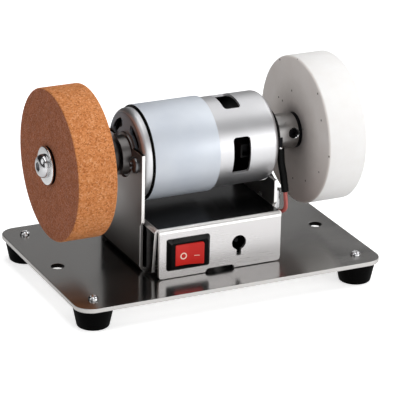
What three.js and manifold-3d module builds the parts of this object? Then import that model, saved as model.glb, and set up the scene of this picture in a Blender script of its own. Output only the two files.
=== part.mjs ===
// Small twin-wheel bench polisher: a direct-current motor with a wheel on each end of its shaft,
// held in a bent bracket over a low switch box, on a steel plate with four rubber feet.
// Millimetres. X runs along the shaft to the white wheel, Y to the back, Z up.
// The origin is at the middle of the whole outline, on the bench.

import * as THREE from "three";
import { mergeVertices } from "three/addons/utils/BufferGeometryUtils.js";
import Module from "manifold-3d";

const wasm = await Module();
wasm.setup();

// Shared clearances
const cutOver = 1;
const slipGap = 0.15;
const runningGap = 0.06;
const seatGap = 0.3;
const weld = 0.0001;

// Facets of round pieces
const wheelSides = 56;
const bigSides = 36;
const midSides = 20;
const smallSides = 12;
const screwSides = 10;
const bendSteps = 3;

// Base plate
const plateLength = 150;
const plateDepth = 100;
const plateThickness = 2;
const plateCornerRadius = 8;
const footInset = 10;
const benchHoleInset = 9.7;
const benchHoleRadius = 3.1;

// Rubber feet and their screws
const footHeight = 10;
const footTopRadius = 9;
const footBottomRadius = 7.2;
const footEdge = 1.1;
const footScrewRadius = 1.25;
const footScrewDepth = 6;
const footScrewHeadRadius = 2.3;
const footScrewHeadHeight = 1.8;

// Shaft
const shaftRadius = 2.5;

// Motor
const motorShift = 0.8;
const canRadius = 20.75;
const canWall = 1.2;
const canLength = 66.4;
const canFrontShoulder = 2.8;
const canRearShoulder = 2.2;
const bossRadius = 8.75;
const bossLength = 5;
const bossRingRadius = 10.2;
const bossRingHeight = 0.8;
const bossMouthRadius = 4;
const ventInnerRadius = 12.6;
const ventOuterRadius = 16.4;
const windowToEnd = 22.5;
const windowLength = 8.4;
const sleeveStart = 5;
const sleeveToWindow = 7.1;
const sleeveThickness = 0.85;
const sleeveSeam = 0.8;
const bellRadius = 19;
const bellPlugLength = 5;
const bellThickness = 2.6;
const bellBossLength = 2.4;
const bearingRadius = 7;
const bearingLength = 5;
const motorScrewSpacing = 29;
const motorScrewRadius = 2;
const motorScrewHeadRadius = 3.7;
const motorScrewHeadHeight = 2.4;

// Motor bracket
const bracketSheet = 1.5;
const bracketBend = 2.4;
const uprightMargin = 0.55;
const frontUprightRise = 6.5;
const saddleRise = 6.3;
const rearUprightInset = 2;
const uprightStep = 1.4;
const uprightStepDrop = 1.6;
const bracketScrewRadius = 1.5;
const bracketScrewHeadRadius = 2.8;
const bracketScrewHeadHeight = 1.7;
const bracketScrewInset = 10.2;
const bracketScrewSpanY = 26;

// Switch box
const boxSideGap = 0.55;
const deckGap = 3.65;
const boxDepth = 64.8;
const boxHeight = 23.7;
const boxSheet = 1.4;
const boxBend = 2;
const boxCornerRadius = 2;
const flangeLift = 2.2;
const flangeSetTop = 0.9;
const flangeSetBottom = 3.4;
const notchWidth = 14.4;
const notchHeight = 2;
const lipDepth = 8;
const lipLength = 16;
const lipSideGap = 4.05;
const lipScrewRadius = 1.5;

// Rocker switch
const switchPlaceShare = -0.2664;
const switchHeightShare = 0.481;
const bezelLength = 21;
const bezelHeight = 15;
const bezelThickness = 2;
const bezelBevel = 1.3;
const switchBodyLength = 18.8;
const switchBodyHeight = 12.8;
const switchBodyDepth = 14;
const rockerLength = 13.6;
const rockerHeight = 10.1;
const rockerCrown = 3.3;
const rockerTilt = THREE.MathUtils.degToRad(7.2);
const rockerPinRadius = 1.2;

// Power socket behind the keyed hole
const keyPlaceShare = 0.1531;
const keyHeightShare = 0.5127;
const keyRadius = 3.5;
const keySlotWidth = 2.25;
const keySlotDepth = 6.2;

// Hubs, wheels and their screws
const hubRadius = 8.3;
const hubLength = 12.6;
const hubChamfer = 0.7;
const spigotRadius = 5;
const setScrewRadius = 2;
const setScrewInset = 4;
const setScrewLift = THREE.MathUtils.degToRad(10);
const wheelRadius = 34.4;
const orangeHubGap = 1.05;
const orangeWheelWidth = 18.45;
const whiteHubGap = 0.6;
const whiteWheelWidth = 19.7;
const wheelEdge = 0.9;
const washerRadius = 8.5;
const washerThickness = 2;
const wheelScrewRadius = 3;
const wheelScrewHeadRadius = 5.4;
const wheelScrewHeadHeight = 3.3;
const wheelScrewSocketRadius = 2.25;

// Motor leads
const leadRadius = 1;
const leadSleeveRadius = 1.8;
const leadSleeveBore = 1.4;
const grommetY = -7;
const grommetDrop = 5.4;
const clipDrop = 1.1;
const clipLength = 8.7;

// Heights and places that follow from the sizes above
const plateTop = footHeight + plateThickness;
const axisHeight = boxHeight + deckGap + sleeveThickness + slipGap + canRadius;
const axisZ = plateTop + axisHeight;
const motorFaceX = motorShift - canLength / 2;
const rearUprightX = motorFaceX + canLength - rearUprightInset;
const saddleBottom = axisHeight - canRadius - slipGap;
const uprightWidth = 2 * (canRadius + uprightMargin);
const frontUprightHeight = axisHeight + frontUprightRise;
const rearUprightHeight = saddleBottom + saddleRise;
const bracketScrewSpanX = rearUprightX - motorFaceX - bracketScrewInset * 2;
const boxWidth = 2 * (rearUprightX - boxSideGap - boxSheet);
const panelY = -boxDepth / 2;
const lipOffset = boxWidth / 2 - lipLength / 2 - lipSideGap;
const switchX = boxWidth * switchPlaceShare;
const switchZ = boxHeight * switchHeightShare;
const keyX = boxWidth * keyPlaceShare;
const keyZ = boxHeight * keyHeightShare;
const clipHigh = saddleBottom - clipDrop;
const clipLow = clipHigh - clipLength;
const grommetZ = clipLow - grommetDrop;
const canBore = canRadius - canWall;
const windowStart = canLength - windowToEnd;
const sleeveLength = windowStart - sleeveToWindow - sleeveStart;
const bellRear = canLength + bellThickness;
const orangeWheelX = motorFaceX - bossLength - orangeHubGap - hubLength;
const whiteWheelX = motorFaceX + bellRear + bellBossLength + whiteHubGap + hubLength;
const wheelStack = washerThickness + wheelScrewHeadHeight;
const outlineLeft = Math.min(-plateLength / 2, orangeWheelX - orangeWheelWidth - wheelStack);
const outlineRight = Math.max(plateLength / 2, whiteWheelX + whiteWheelWidth + wheelStack);

// Solid from a geometry: vertices joined, slivers dropped, faces turned outward
function solidOf(geometry) {
  const bare = geometry.index ? geometry.toNonIndexed() : geometry.clone();
  bare.deleteAttribute("normal");
  bare.deleteAttribute("uv");
  const merged = mergeVertices(bare, weld);
  const spots = merged.attributes.position;
  const index = merged.index.array;
  const a = new THREE.Vector3();
  const b = new THREE.Vector3();
  const c = new THREE.Vector3();
  const kept = [];
  let volume = 0;
  for (let i = 0; i < index.length; i += 3) {
    const [p, q, r] = [index[i], index[i + 1], index[i + 2]];
    if (p === q || q === r || r === p) continue;
    kept.push([p, q, r]);
    a.fromBufferAttribute(spots, p);
    b.fromBufferAttribute(spots, q);
    c.fromBufferAttribute(spots, r);
    volume += a.dot(b.cross(c));
  }
  const turned = volume < 0 ? kept.map(([p, q, r]) => [p, r, q]) : kept;
  return new wasm.Manifold(new wasm.Mesh({
    numProp: 3,
    vertProperties: new Float32Array(spots.array),
    triVerts: new Uint32Array(turned.flat()),
  }));
}

function geometryOf(solid) {
  const mesh = solid.getMesh();
  const geometry = new THREE.BufferGeometry();
  const spots = new Float32Array(mesh.numVert * 3);
  for (let i = 0; i < mesh.numVert; i += 1) {
    for (let k = 0; k < 3; k += 1) {
      spots[i * 3 + k] = mesh.vertProperties[i * mesh.numProp + k];
    }
  }
  geometry.setAttribute("position", new THREE.BufferAttribute(spots, 3));
  geometry.setIndex(new THREE.BufferAttribute(new Uint32Array(mesh.triVerts), 1));
  geometry.computeVertexNormals();
  return geometry;
}

// Shapes along a chosen axis
function block([x0, x1], [y0, y1], [z0, z1]) {
  const geometry = new THREE.BoxGeometry(x1 - x0, y1 - y0, z1 - z0);
  geometry.translate((x0 + x1) / 2, (y0 + y1) / 2, (z0 + z1) / 2);
  return solidOf(geometry);
}

// Turned piece: the profile is a list of [radius, place along the axis]
function turned(profile, sides, axis) {
  const geometry = new THREE.LatheGeometry(profile.map(([r, t]) => new THREE.Vector2(r, t)), sides);
  if (axis === "x") geometry.rotateZ(-Math.PI / 2);
  if (axis === "z") geometry.rotateX(Math.PI / 2);
  return solidOf(geometry);
}

function rod(radius, from, to, sides, axis) {
  return turned([[0, from], [radius, from], [radius, to], [0, to]], sides, axis);
}

function ring(outer, inner, from, to, sides, axis) {
  return turned([[inner, from], [outer, from], [outer, to], [inner, to], [inner, from]], sides, axis);
}

// Flat outline pushed along an axis; on x the outline lies in (y, z), on y in (x, z)
function slab(shape, from, to, axis, curveSegments = 12) {
  const geometry = new THREE.ExtrudeGeometry(shape, { depth: to - from, bevelEnabled: false, curveSegments });
  geometry.translate(0, 0, from);
  const [u, v, w] = [new THREE.Vector3(1, 0, 0), new THREE.Vector3(0, 1, 0), new THREE.Vector3(0, 0, 1)];
  if (axis === "x") geometry.applyMatrix4(new THREE.Matrix4().makeBasis(v, w, u));
  if (axis === "y") geometry.applyMatrix4(new THREE.Matrix4().makeBasis(u, w, v));
  return solidOf(geometry);
}

function polygon(points) {
  return new THREE.Shape(points.map(([x, y]) => new THREE.Vector2(x, y)));
}

// Rectangle with its own radius at each corner, from bottom left round to top left
function roundedRect([x0, x1], [y0, y1], [bl, br, tr, tl]) {
  const shape = new THREE.Shape();
  shape.moveTo(x0 + bl, y0);
  shape.lineTo(x1 - br, y0);
  if (br > 0) shape.absarc(x1 - br, y0 + br, br, -Math.PI / 2, 0, false);
  shape.lineTo(x1, y1 - tr);
  if (tr > 0) shape.absarc(x1 - tr, y1 - tr, tr, 0, Math.PI / 2, false);
  shape.lineTo(x0 + tl, y1);
  if (tl > 0) shape.absarc(x0 + tl, y1 - tl, tl, Math.PI / 2, Math.PI, false);
  shape.lineTo(x0, y0 + bl);
  if (bl > 0) shape.absarc(x0 + bl, y0 + bl, bl, Math.PI, Math.PI * 1.5, false);
  return shape;
}

function around(x, y, radius) {
  const path = new THREE.Path();
  path.absarc(x, y, radius, 0, Math.PI * 2, true);
  return path;
}

// Ring sector in the (y, z) plane; angles start at the front and rise over the top
function sector(inner, outer, low, high) {
  const shape = new THREE.Shape();
  const at = (r, a) => [-r * Math.cos(a), r * Math.sin(a)];
  const steps = 6;
  for (let i = 0; i <= steps; i += 1) {
    const [y, z] = at(outer, low + (high - low) * i / steps);
    if (i === 0) shape.moveTo(y, z);
    else shape.lineTo(y, z);
  }
  for (let i = steps; i >= 0; i -= 1) shape.lineTo(...at(inner, low + (high - low) * i / steps));
  shape.closePath();
  return shape;
}

function arc(cx, cy, radius, from, to, steps) {
  const points = [];
  for (let i = 0; i <= steps; i += 1) {
    const a = from + (to - from) * i / steps;
    points.push([cx + radius * Math.cos(a), cy + radius * Math.sin(a)]);
  }
  return points;
}

// Round strand along a route, solid or with a bore
function strand(route, radius, steps, bore = 0) {
  const shape = new THREE.Shape();
  shape.absarc(0, 0, radius, 0, Math.PI * 2, false);
  if (bore > 0) shape.holes.push(around(0, 0, bore));
  const curve = new THREE.CatmullRomCurve3(route.map((p) => new THREE.Vector3(...p)), false, "centripetal");
  return solidOf(new THREE.ExtrudeGeometry(shape, { steps, curveSegments: 4, extrudePath: curve }));
}

// Materials, one per sub-part, coloured from the photograph
const looks = {
  steel: [0x6f7173, 0.25, 1],
  blackSteel: [0x2a2b2d, 0.3, 0.9],
  brightSteel: [0xc9cacb, 0.25, 1],
  screwSteel: [0xb4b6b8, 0.3, 1],
  rubber: [0x161616, 0.8, 0],
  can: [0xc4c6c8, 0.28, 1],
  film: [0xd3d9e2, 0.3, 0.2],
  bell: [0x1c1c1d, 0.5, 0],
  hub: [0x6a6866, 0.4, 0.8],
  orange: [0xc98048, 0.9, 0],
  white: [0xd9d7d2, 0.9, 0],
  copper: [0xa8643a, 0.4, 0.9],
  brass: [0xc9a85e, 0.35, 1],
  core: [0x4a4b4d, 0.5, 0.8],
  black: [0x121213, 0.45, 0],
  red: [0xd21a20, 0.35, 0],
  redLead: [0xc8474b, 0.45, 0],
};

const model = new THREE.Group();
model.position.x = -(outlineLeft + outlineRight) / 2;
const bench = new THREE.Group();
const onPlate = new THREE.Group();
onPlate.position.z = plateTop;
const motor = new THREE.Group();
motor.position.set(motorFaceX, 0, axisZ);
const spindle = new THREE.Group();
spindle.position.z = axisZ;
const control = new THREE.Group();
control.position.set(switchX, panelY, plateTop + switchZ);
model.add(bench, onPlate, motor, spindle, control);

function piece(name, solid, look, parent) {
  const [color, roughness, metalness] = looks[look];
  const material = new THREE.MeshStandardMaterial({ color, roughness, metalness });
  const mesh = new THREE.Mesh(geometryOf(solid), material);
  mesh.name = name;
  parent.add(mesh);
  return mesh;
}

// Places shared by several pieces
const footX = plateLength / 2 - footInset;
const footY = plateDepth / 2 - footInset;
const corners = [["fl", -1, -1], ["fr", 1, -1], ["bl", -1, 1], ["br", 1, 1]];
const lipY = boxDepth / 2 - boxSheet - lipDepth / 2;
const lipScrews = [["front", lipOffset, -lipY], ["rear", -lipOffset, lipY]];

// Base plate: rounded steel sheet with the foot screws, two bench holes and the fixings from below
function basePlate() {
  const r = Math.min(plateCornerRadius, plateLength / 2, plateDepth / 2);
  const shape = roundedRect([-plateLength / 2, plateLength / 2], [-plateDepth / 2, plateDepth / 2], [r, r, r, r]);
  for (const [, sx, sy] of corners) {
    shape.holes.push(around(sx * footX, sy * footY, footScrewRadius + slipGap));
    shape.holes.push(around(sx * bracketScrewSpanX / 2, sy * bracketScrewSpanY / 2, bracketScrewRadius + slipGap));
  }
  for (const side of [-1, 1]) {
    shape.holes.push(around(side * (plateLength / 2 - benchHoleInset), 0, benchHoleRadius));
  }
  for (const [, x, y] of lipScrews) shape.holes.push(around(x, y, lipScrewRadius + slipGap));
  piece("base_plate", slab(shape, footHeight, plateTop, "z", bendSteps * 2), "steel", bench);
}

// Foot: tapered rubber button with a blind hole for its screw
function foot(name, x, y) {
  const edge = Math.min(footEdge, footBottomRadius / 2, footHeight / 2);
  const hole = footScrewRadius + slipGap;
  const profile = [
    [0, 0],
    [footBottomRadius - edge, 0],
    [footBottomRadius - edge * 0.3, edge * 0.3],
    [footBottomRadius, edge],
    [footTopRadius, footHeight],
    [hole, footHeight],
    [hole, footHeight - footScrewDepth - slipGap],
    [0, footHeight - footScrewDepth - slipGap],
  ];
  piece(`foot_${name}`, turned(profile, midSides, "z"), "rubber", bench).position.set(x, y, 0);
}

// Domed screw that goes down through the plate into the foot
function footScrew(name, x, y) {
  const profile = [
    [0, -plateThickness - footScrewDepth],
    [footScrewRadius, -plateThickness - footScrewDepth],
    [footScrewRadius, 0],
    [footScrewHeadRadius, 0],
    [footScrewHeadRadius, footScrewHeadHeight * 0.4],
    [footScrewHeadRadius * 0.8, footScrewHeadHeight * 0.8],
    [footScrewHeadRadius * 0.4, footScrewHeadHeight],
    [0, footScrewHeadHeight],
  ];
  piece(`foot_screw_${name}`, turned(profile, smallSides, "z"), "screwSteel", onPlate).position.set(x, y, 0);
}

// Bracket: one bent sheet, a floor with a tall front upright and a low rear saddle
function motorBracket() {
  const left = motorFaceX - bracketSheet;
  const right = rearUprightX + bracketSheet;
  const half = uprightWidth / 2;
  const top = Math.max(frontUprightHeight, rearUprightHeight);
  const outer = slab(
    roundedRect([left, right], [0, top], [bracketBend, bracketBend, 0, 0]), -half, half, "y", bendSteps);
  const innerBend = Math.max(bracketBend - bracketSheet, 0);
  const inner = slab(
    roundedRect([motorFaceX, rearUprightX], [bracketSheet, top + cutOver], [innerBend, innerBend, 0, 0]),
    -half - cutOver, half + cutOver, "y", bendSteps);
  let body = outer.subtract(inner);
  // The uprights end at their own heights
  body = body.subtract(block(
    [left - cutOver, 0], [-half - cutOver, half + cutOver], [frontUprightHeight, top + cutOver]));
  body = body.subtract(block(
    [0, right + cutOver], [-half - cutOver, half + cutOver], [rearUprightHeight, top + cutOver]));
  // Below the box top the sheet is narrower, with a short slant
  const stepTop = boxHeight;
  for (const side of [-1, 1]) {
    const notch = polygon([
      [side * half, stepTop],
      [side * (half + cutOver), stepTop],
      [side * (half + cutOver), -cutOver],
      [side * (half - uprightStep), -cutOver],
      [side * (half - uprightStep), stepTop - uprightStepDrop],
    ]);
    body = body.subtract(slab(notch, left - cutOver, right + cutOver, "x"));
  }
  // Slot for the motor's boss, open at the top, and the two motor screws
  const slot = bossRingRadius + slipGap;
  const boss = rod(slot, left - cutOver, motorFaceX + cutOver, bigSides, "x").translate([0, 0, axisHeight]);
  const mouth = block(
    [left - cutOver, motorFaceX + cutOver], [-slot, slot], [axisHeight, frontUprightHeight + cutOver]);
  body = body.subtract(boss).subtract(mouth);
  for (const side of [-1, 1]) {
    const hole = rod(motorScrewRadius + slipGap, left - cutOver, motorFaceX + cutOver, smallSides, "x");
    body = body.subtract(hole.translate([0, side * motorScrewSpacing / 2, axisHeight]));
  }
  // Saddle under the can, lead hole and clip screw hole in the rear upright
  const saddle = rod(canRadius + slipGap, rearUprightX - cutOver, right + cutOver, bigSides, "x");
  body = body.subtract(saddle.translate([0, 0, axisHeight]));
  const leadHole = rod(grommetBodyRadius + slipGap, rearUprightX - cutOver, right + cutOver, smallSides, "x");
  body = body.subtract(leadHole.translate([0, grommetY, grommetZ]));
  const clipHole = rod(clipScrewRadius + slipGap, rearUprightX - cutOver, right + cutOver, screwSides, "x");
  body = body.subtract(clipHole.translate([0, clipScrewY, clipMiddle]));
  for (const [, sx, sy] of corners) {
    const hole = rod(bracketScrewRadius + slipGap, -cutOver, bracketSheet + cutOver, screwSides, "z");
    body = body.subtract(hole.translate([sx * bracketScrewSpanX / 2, sy * bracketScrewSpanY / 2, 0]));
  }
  piece("motor_bracket", body, "blackSteel", onPlate);
}

// Pan head screw from below; its tip ends level with the sheet that it holds
function panScrew(name, radius, headRadius, headHeight, length, look, parent) {
  const profile = [
    [0, -headHeight],
    [headRadius * 0.7, -headHeight],
    [headRadius, -headHeight * 0.5],
    [headRadius, 0],
    [radius, 0],
    [radius, length],
    [0, length],
  ];
  return piece(name, turned(profile, screwSides, "z"), look, parent);
}

function plateScrews() {
  for (const [name, sx, sy] of corners) {
    const screw = panScrew(`bracket_screw_${name}`, bracketScrewRadius, bracketScrewHeadRadius,
      bracketScrewHeadHeight, plateThickness + bracketSheet, "screwSteel", bench);
    screw.position.set(sx * bracketScrewSpanX / 2, sy * bracketScrewSpanY / 2, footHeight);
  }
  for (const [name, x, y] of lipScrews) {
    const screw = panScrew(`box_screw_${name}`, lipScrewRadius, bracketScrewHeadRadius,
      bracketScrewHeadHeight, plateThickness + boxSheet, "screwSteel", bench);
    screw.position.set(x, y, footHeight);
  }
}

// Switch box: bent sheet cover with front and rear panels, two side flanges and bottom lips
function switchBox() {
  const halfWidth = boxWidth / 2;
  const halfDepth = boxDepth / 2;
  const innerBend = Math.max(boxBend - boxSheet, 0);
  const over = slab(
    roundedRect([-halfDepth, halfDepth], [0, boxHeight], [0, 0, boxBend, boxBend]), -halfWidth, halfWidth, "x", bendSteps);
  const under = slab(
    roundedRect([-halfDepth + boxSheet, halfDepth - boxSheet], [-cutOver, boxHeight - boxSheet],
      [0, 0, innerBend, innerBend]), -halfWidth - cutOver, halfWidth + cutOver, "x", bendSteps);
  let body = over.subtract(under);
  body = body.add(sideFlanges());
  // Rounded lower corners of both panels
  const face = roundedRect([-halfWidth, halfWidth], [0, boxHeight],
    [boxCornerRadius, boxCornerRadius, 0, 0]);
  const keep = slab(face, -halfDepth - cutOver, halfDepth + cutOver, "y", bendSteps);
  const deep = halfDepth - boxBend;
  const middle = block([-boxWidth, boxWidth], [-deep, deep], [-cutOver, boxHeight + cutOver]);
  body = body.intersect(keep.add(middle));
  for (const [, x, y] of lipScrews) body = body.add(bottomLip(x, y)).subtract(lipHole(x, y));
  body = body.subtract(switchCutOut()).subtract(keyHole()).subtract(panelNotch()).subtract(boxLeadHole());
  piece("switch_box", body, "brightSteel", onPlate);
}

// Side flanges hang from the deck and are cut back from the panels, more so at the bottom
function sideFlanges() {
  const halfWidth = boxWidth / 2;
  const halfDepth = boxDepth / 2;
  const outer = halfWidth + boxSheet;
  const shell = slab(
    roundedRect([-outer, outer], [0, boxHeight], [0, 0, boxBend, boxBend]), -halfDepth, halfDepth, "y", bendSteps);
  const innerBend = Math.max(boxBend - boxSheet, 0);
  const hollow = slab(
    roundedRect([-halfWidth, halfWidth], [-cutOver, boxHeight - boxSheet], [0, 0, innerBend, innerBend]),
    -halfDepth - cutOver, halfDepth + cutOver, "y", bendSteps);
  const topSet = halfDepth - boxSheet - flangeSetTop;
  const bottomSet = halfDepth - boxSheet - flangeSetBottom;
  const side = polygon([
    [-topSet, boxHeight + cutOver],
    [-topSet, boxHeight - boxSheet],
    [-bottomSet, flangeLift],
    [bottomSet, flangeLift],
    [topSet, boxHeight - boxSheet],
    [topSet, boxHeight + cutOver],
  ]);
  return shell.subtract(hollow).intersect(slab(side, -outer - cutOver, outer + cutOver, "x"));
}

function bottomLip(x, y) {
  const inner = boxDepth / 2 - boxSheet - lipDepth;
  const wall = boxDepth / 2 - boxSheet / 2;
  const span = y < 0 ? [-wall, -inner] : [inner, wall];
  return block([x - lipLength / 2, x + lipLength / 2], span, [0, boxSheet]);
}

function lipHole(x, y) {
  return rod(lipScrewRadius + slipGap, -cutOver, boxSheet + cutOver, screwSides, "z").translate([x, y, 0]);
}

function switchCutOut() {
  const x = switchBodyLength / 2 + slipGap;
  const z = switchBodyHeight / 2 + slipGap;
  return block(
    [switchX - x, switchX + x], [panelY - cutOver, panelY + boxSheet + cutOver], [switchZ - z, switchZ + z]);
}

function keyHole() {
  const from = panelY - cutOver;
  const to = panelY + boxSheet + cutOver;
  const bore = rod(keyRadius, from, to, midSides, "y").translate([keyX, 0, keyZ]);
  const slot = block(
    [keyX - keySlotWidth / 2, keyX + keySlotWidth / 2], [from, to], [keyZ - keySlotDepth, keyZ]);
  return bore.add(slot);
}

function panelNotch() {
  const r = notchHeight;
  const shape = roundedRect(
    [-notchWidth / 2, notchWidth / 2], [-cutOver, notchHeight], [0, 0, r * 0.95, r * 0.95]);
  return slab(shape, panelY - cutOver, panelY + boxSheet + cutOver, "y", bendSteps);
}

function boxLeadHole() {
  const from = boxWidth / 2 - cutOver;
  const to = boxWidth / 2 + boxSheet + cutOver;
  return rod(grommetBodyRadius + slipGap, from, to, smallSides, "x").translate([0, grommetY, grommetZ]);
}

// Rubber grommet through the box flange and the rear upright
const grommetBodyRadius = 3.8;
const grommetBore = 2.8;
const grommetLip = 1.3;
const grommetLipWidth = 1;
function grommet() {
  const inside = boxWidth / 2;
  const outside = rearUprightX + bracketSheet;
  const lip = grommetBodyRadius + grommetLip;
  const profile = [
    [grommetBore, inside - grommetLipWidth],
    [lip, inside - grommetLipWidth],
    [lip, inside],
    [grommetBodyRadius, inside],
    [grommetBodyRadius, outside],
    [lip, outside],
    [lip, outside + grommetLipWidth],
    [grommetBore, outside + grommetLipWidth],
    [grommetBore, inside - grommetLipWidth],
  ];
  piece("lead_grommet", turned(profile, smallSides, "x"), "rubber", onPlate).position.set(0, grommetY, grommetZ);
}

// Motor can: drawn cup with a bearing boss, vents in its face and windows in its side
const ventLow = THREE.MathUtils.degToRad(29);
const ventHigh = THREE.MathUtils.degToRad(71);
const windowSpan = THREE.MathUtils.degToRad(49);
const windowTurn = THREE.MathUtils.degToRad(-2.4);
const bellBore = canBore - slipGap;
function motorCan() {
  const face = canRadius - canFrontShoulder;
  const seat = bearingRadius + slipGap / 2;
  const lipDeep = bossLength - canWall * 0.75;
  const shoulder = arc(face, canFrontShoulder, canFrontShoulder, -Math.PI / 2, 0, bendSteps);
  const rear = arc(canRadius - canRearShoulder, canLength - canRearShoulder, canRearShoulder, 0, Math.PI / 4, bendSteps - 1);
  const profile = [
    [bossMouthRadius, -bossLength],
    [bossRadius - hubChamfer / 2, -bossLength],
    [bossRadius, -bossLength + hubChamfer / 2],
    [bossRadius, -bossRingHeight],
    [bossRingRadius, -bossRingHeight],
    [bossRingRadius, 0],
    ...shoulder,
    ...rear,
    [canBore + canWall * 0.1, canLength],
    [canBore, canLength],
    [canBore, canFrontShoulder],
    [face, canWall],
    [seat, canWall],
    [seat, -lipDeep],
    [bossMouthRadius, -lipDeep],
    [bossMouthRadius, -bossLength],
  ];
  let body = turned(profile, bigSides, "x");
  const vents = [ventLow, -ventHigh, Math.PI - ventHigh, Math.PI + ventLow];
  for (const low of vents) {
    const vent = sector(ventInnerRadius, ventOuterRadius, low, low + ventHigh - ventLow);
    body = body.subtract(slab(vent, -cutOver, canWall + cutOver, "x"));
  }
  for (let k = 0; k < 4; k += 1) {
    const middle = windowTurn + k * Math.PI / 2;
    const pane = sector(canBore - cutOver, canRadius + cutOver, middle - windowSpan / 2, middle + windowSpan / 2);
    body = body.subtract(slab(pane, windowStart, windowStart + windowLength, "x"));
  }
  for (const side of [-1, 1]) {
    const hole = rod(motorScrewRadius + slipGap, -cutOver, canWall + cutOver, screwSides, "x");
    body = body.subtract(hole.translate([0, side * motorScrewSpacing / 2, 0]));
  }
  piece("motor_can", body, "can", motor);
}

// Flux ring: rolled sheet round the can with its seam underneath
function fluxSleeve() {
  const inner = canRadius + slipGap;
  const outer = inner + sleeveThickness;
  const seam = block(
    [sleeveStart - cutOver, sleeveStart + sleeveLength + cutOver],
    [-sleeveSeam / 2, sleeveSeam / 2], [-outer - cutOver, 0]);
  const body = ring(outer, inner, sleeveStart, sleeveStart + sleeveLength, bigSides, "x").subtract(seam);
  piece("flux_sleeve", body, "film", motor);
}

// End bell: moulded disc with a plug in the can, a bearing boss, vents and terminal slots
const bellBossRadius = 8.2;
const terminalY = 13.4;
const terminalThickness = 0.8;
const terminalWidth = 4.8;
const terminalLength = 2.8;
function endBell() {
  const plug = canLength - bellPlugLength;
  const seat = bearingRadius + slipGap / 2;
  const end = bellRear + bellBossLength;
  const profile = [
    [bossMouthRadius, end],
    [bellBossRadius, end],
    [bellBossRadius, bellRear],
    [bellRadius - hubChamfer, bellRear],
    [bellRadius, bellRear - hubChamfer],
    [bellRadius, canLength],
    [bellBore, canLength - slipGap],
    [bellBore, plug],
    [bellBore - canWall, plug],
    [bellBore - canWall, canLength - canWall],
    [seat, canLength - canWall],
    [seat, bellRear + canWall],
    [bossMouthRadius, bellRear + canWall],
    [bossMouthRadius, end],
  ];
  let body = turned(profile, bigSides, "x");
  const slotY = terminalThickness / 2 + slipGap;
  const slotZ = terminalWidth / 2 + slipGap;
  for (const side of [-1, 1]) {
    const y = side * terminalY;
    body = body.subtract(block([plug - cutOver, bellRear + cutOver], [y - slotY, y + slotY], [-slotZ, slotZ]));
    const low = side * Math.PI / 2 - ventSpanRear / 2;
    const vent = sector(bellBossRadius + canWall, bellBore - canWall * 2, low, low + ventSpanRear);
    body = body.subtract(slab(vent, canLength - canWall - cutOver, bellRear + cutOver, "x"));
  }
  piece("motor_end_bell", body, "bell", motor);
}
const ventSpanRear = THREE.MathUtils.degToRad(70);

// Ball bearing, closed by its shields, so shown as one ring
function bearing(name, from) {
  const body = ring(bearingRadius, shaftRadius + runningGap, from, from + bearingLength, midSides, "x");
  piece(name, body, "screwSteel", motor);
}

// Curved magnets against the can wall, above and below the rotor
const magnetThickness = 2.9;
const magnetStart = 9;
const magnetToWindow = 2.9;
const magnetLength = windowStart - magnetToWindow - magnetStart;
const magnetSpan = THREE.MathUtils.degToRad(124);
function magnet(name, turn) {
  const outer = canBore - slipGap;
  const low = turn - magnetSpan / 2;
  const steps = 10;
  const points = [];
  for (let i = 0; i <= steps; i += 1) {
    const a = low + magnetSpan * i / steps;
    points.push([-outer * Math.cos(a), outer * Math.sin(a)]);
  }
  for (let i = steps; i >= 0; i -= 1) {
    const a = low + magnetSpan * i / steps;
    points.push([-(outer - magnetThickness) * Math.cos(a), (outer - magnetThickness) * Math.sin(a)]);
  }
  piece(name, slab(polygon(points), magnetStart, magnetStart + magnetLength, "x"), "core", motor);
}

// Terminal blades through the end bell
function terminal(name, side) {
  const y = side * terminalY;
  const body = block(
    [canLength - bellPlugLength, bellRear + terminalLength],
    [y - terminalThickness / 2, y + terminalThickness / 2],
    [-terminalWidth / 2, terminalWidth / 2]);
  piece(name, body, "brass", motor);
}

// Brush card: moulded disc with two open boxes that guide the brushes
const cardToEnd = 11.9;
const cardStart = canLength - cardToEnd;
const cardThickness = 2.2;
const commutatorRadius = 5.2;
const commutatorToCard = 10;
const commutatorStart = cardStart - commutatorToCard;
const commutatorLength = 9;
const brushWidth = 4.2;
const brushLength = 7.2;
const brushBoxWall = 0.9;
function brushCard() {
  const disc = ring(bellBore, commutatorRadius + cutOver, cardStart, cardStart + cardThickness, bigSides, "x");
  let body = disc;
  const reach = canBore - magnetThickness;
  for (const side of [-1, 1]) {
    const half = brushWidth / 2 + slipGap;
    const near = commutatorRadius + cutOver;
    const [y0, y1] = side < 0 ? [-reach, -near] : [near, reach];
    const from = cardStart - brushWidth - slipGap * 2 - brushBoxWall;
    const outer = block([from, cardStart + cutOver], [y0, y1], [-half - brushBoxWall, half + brushBoxWall]);
    const hole = block([from + brushBoxWall, cardStart], [y0 - cutOver, y1 + cutOver], [-half, half]);
    body = body.add(outer).subtract(hole);
    const slotY = terminalThickness / 2 + slipGap;
    const slotZ = terminalWidth / 2 + slipGap;
    const y = side * terminalY;
    body = body.subtract(block(
      [cardStart - slipGap, cardStart + cardThickness + cutOver], [y - slotY, y + slotY], [-slotZ, slotZ]));
  }
  piece("brush_card", body, "bell", motor);
}

function brush(name, side) {
  const near = commutatorRadius + runningGap;
  const [y0, y1] = side < 0 ? [-near - brushLength, -near] : [near, near + brushLength];
  const to = cardStart - slipGap;
  const body = block([to - brushWidth, to], [y0, y1], [-brushWidth / 2, brushWidth / 2]);
  piece(name, body, "core", motor);
}

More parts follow.
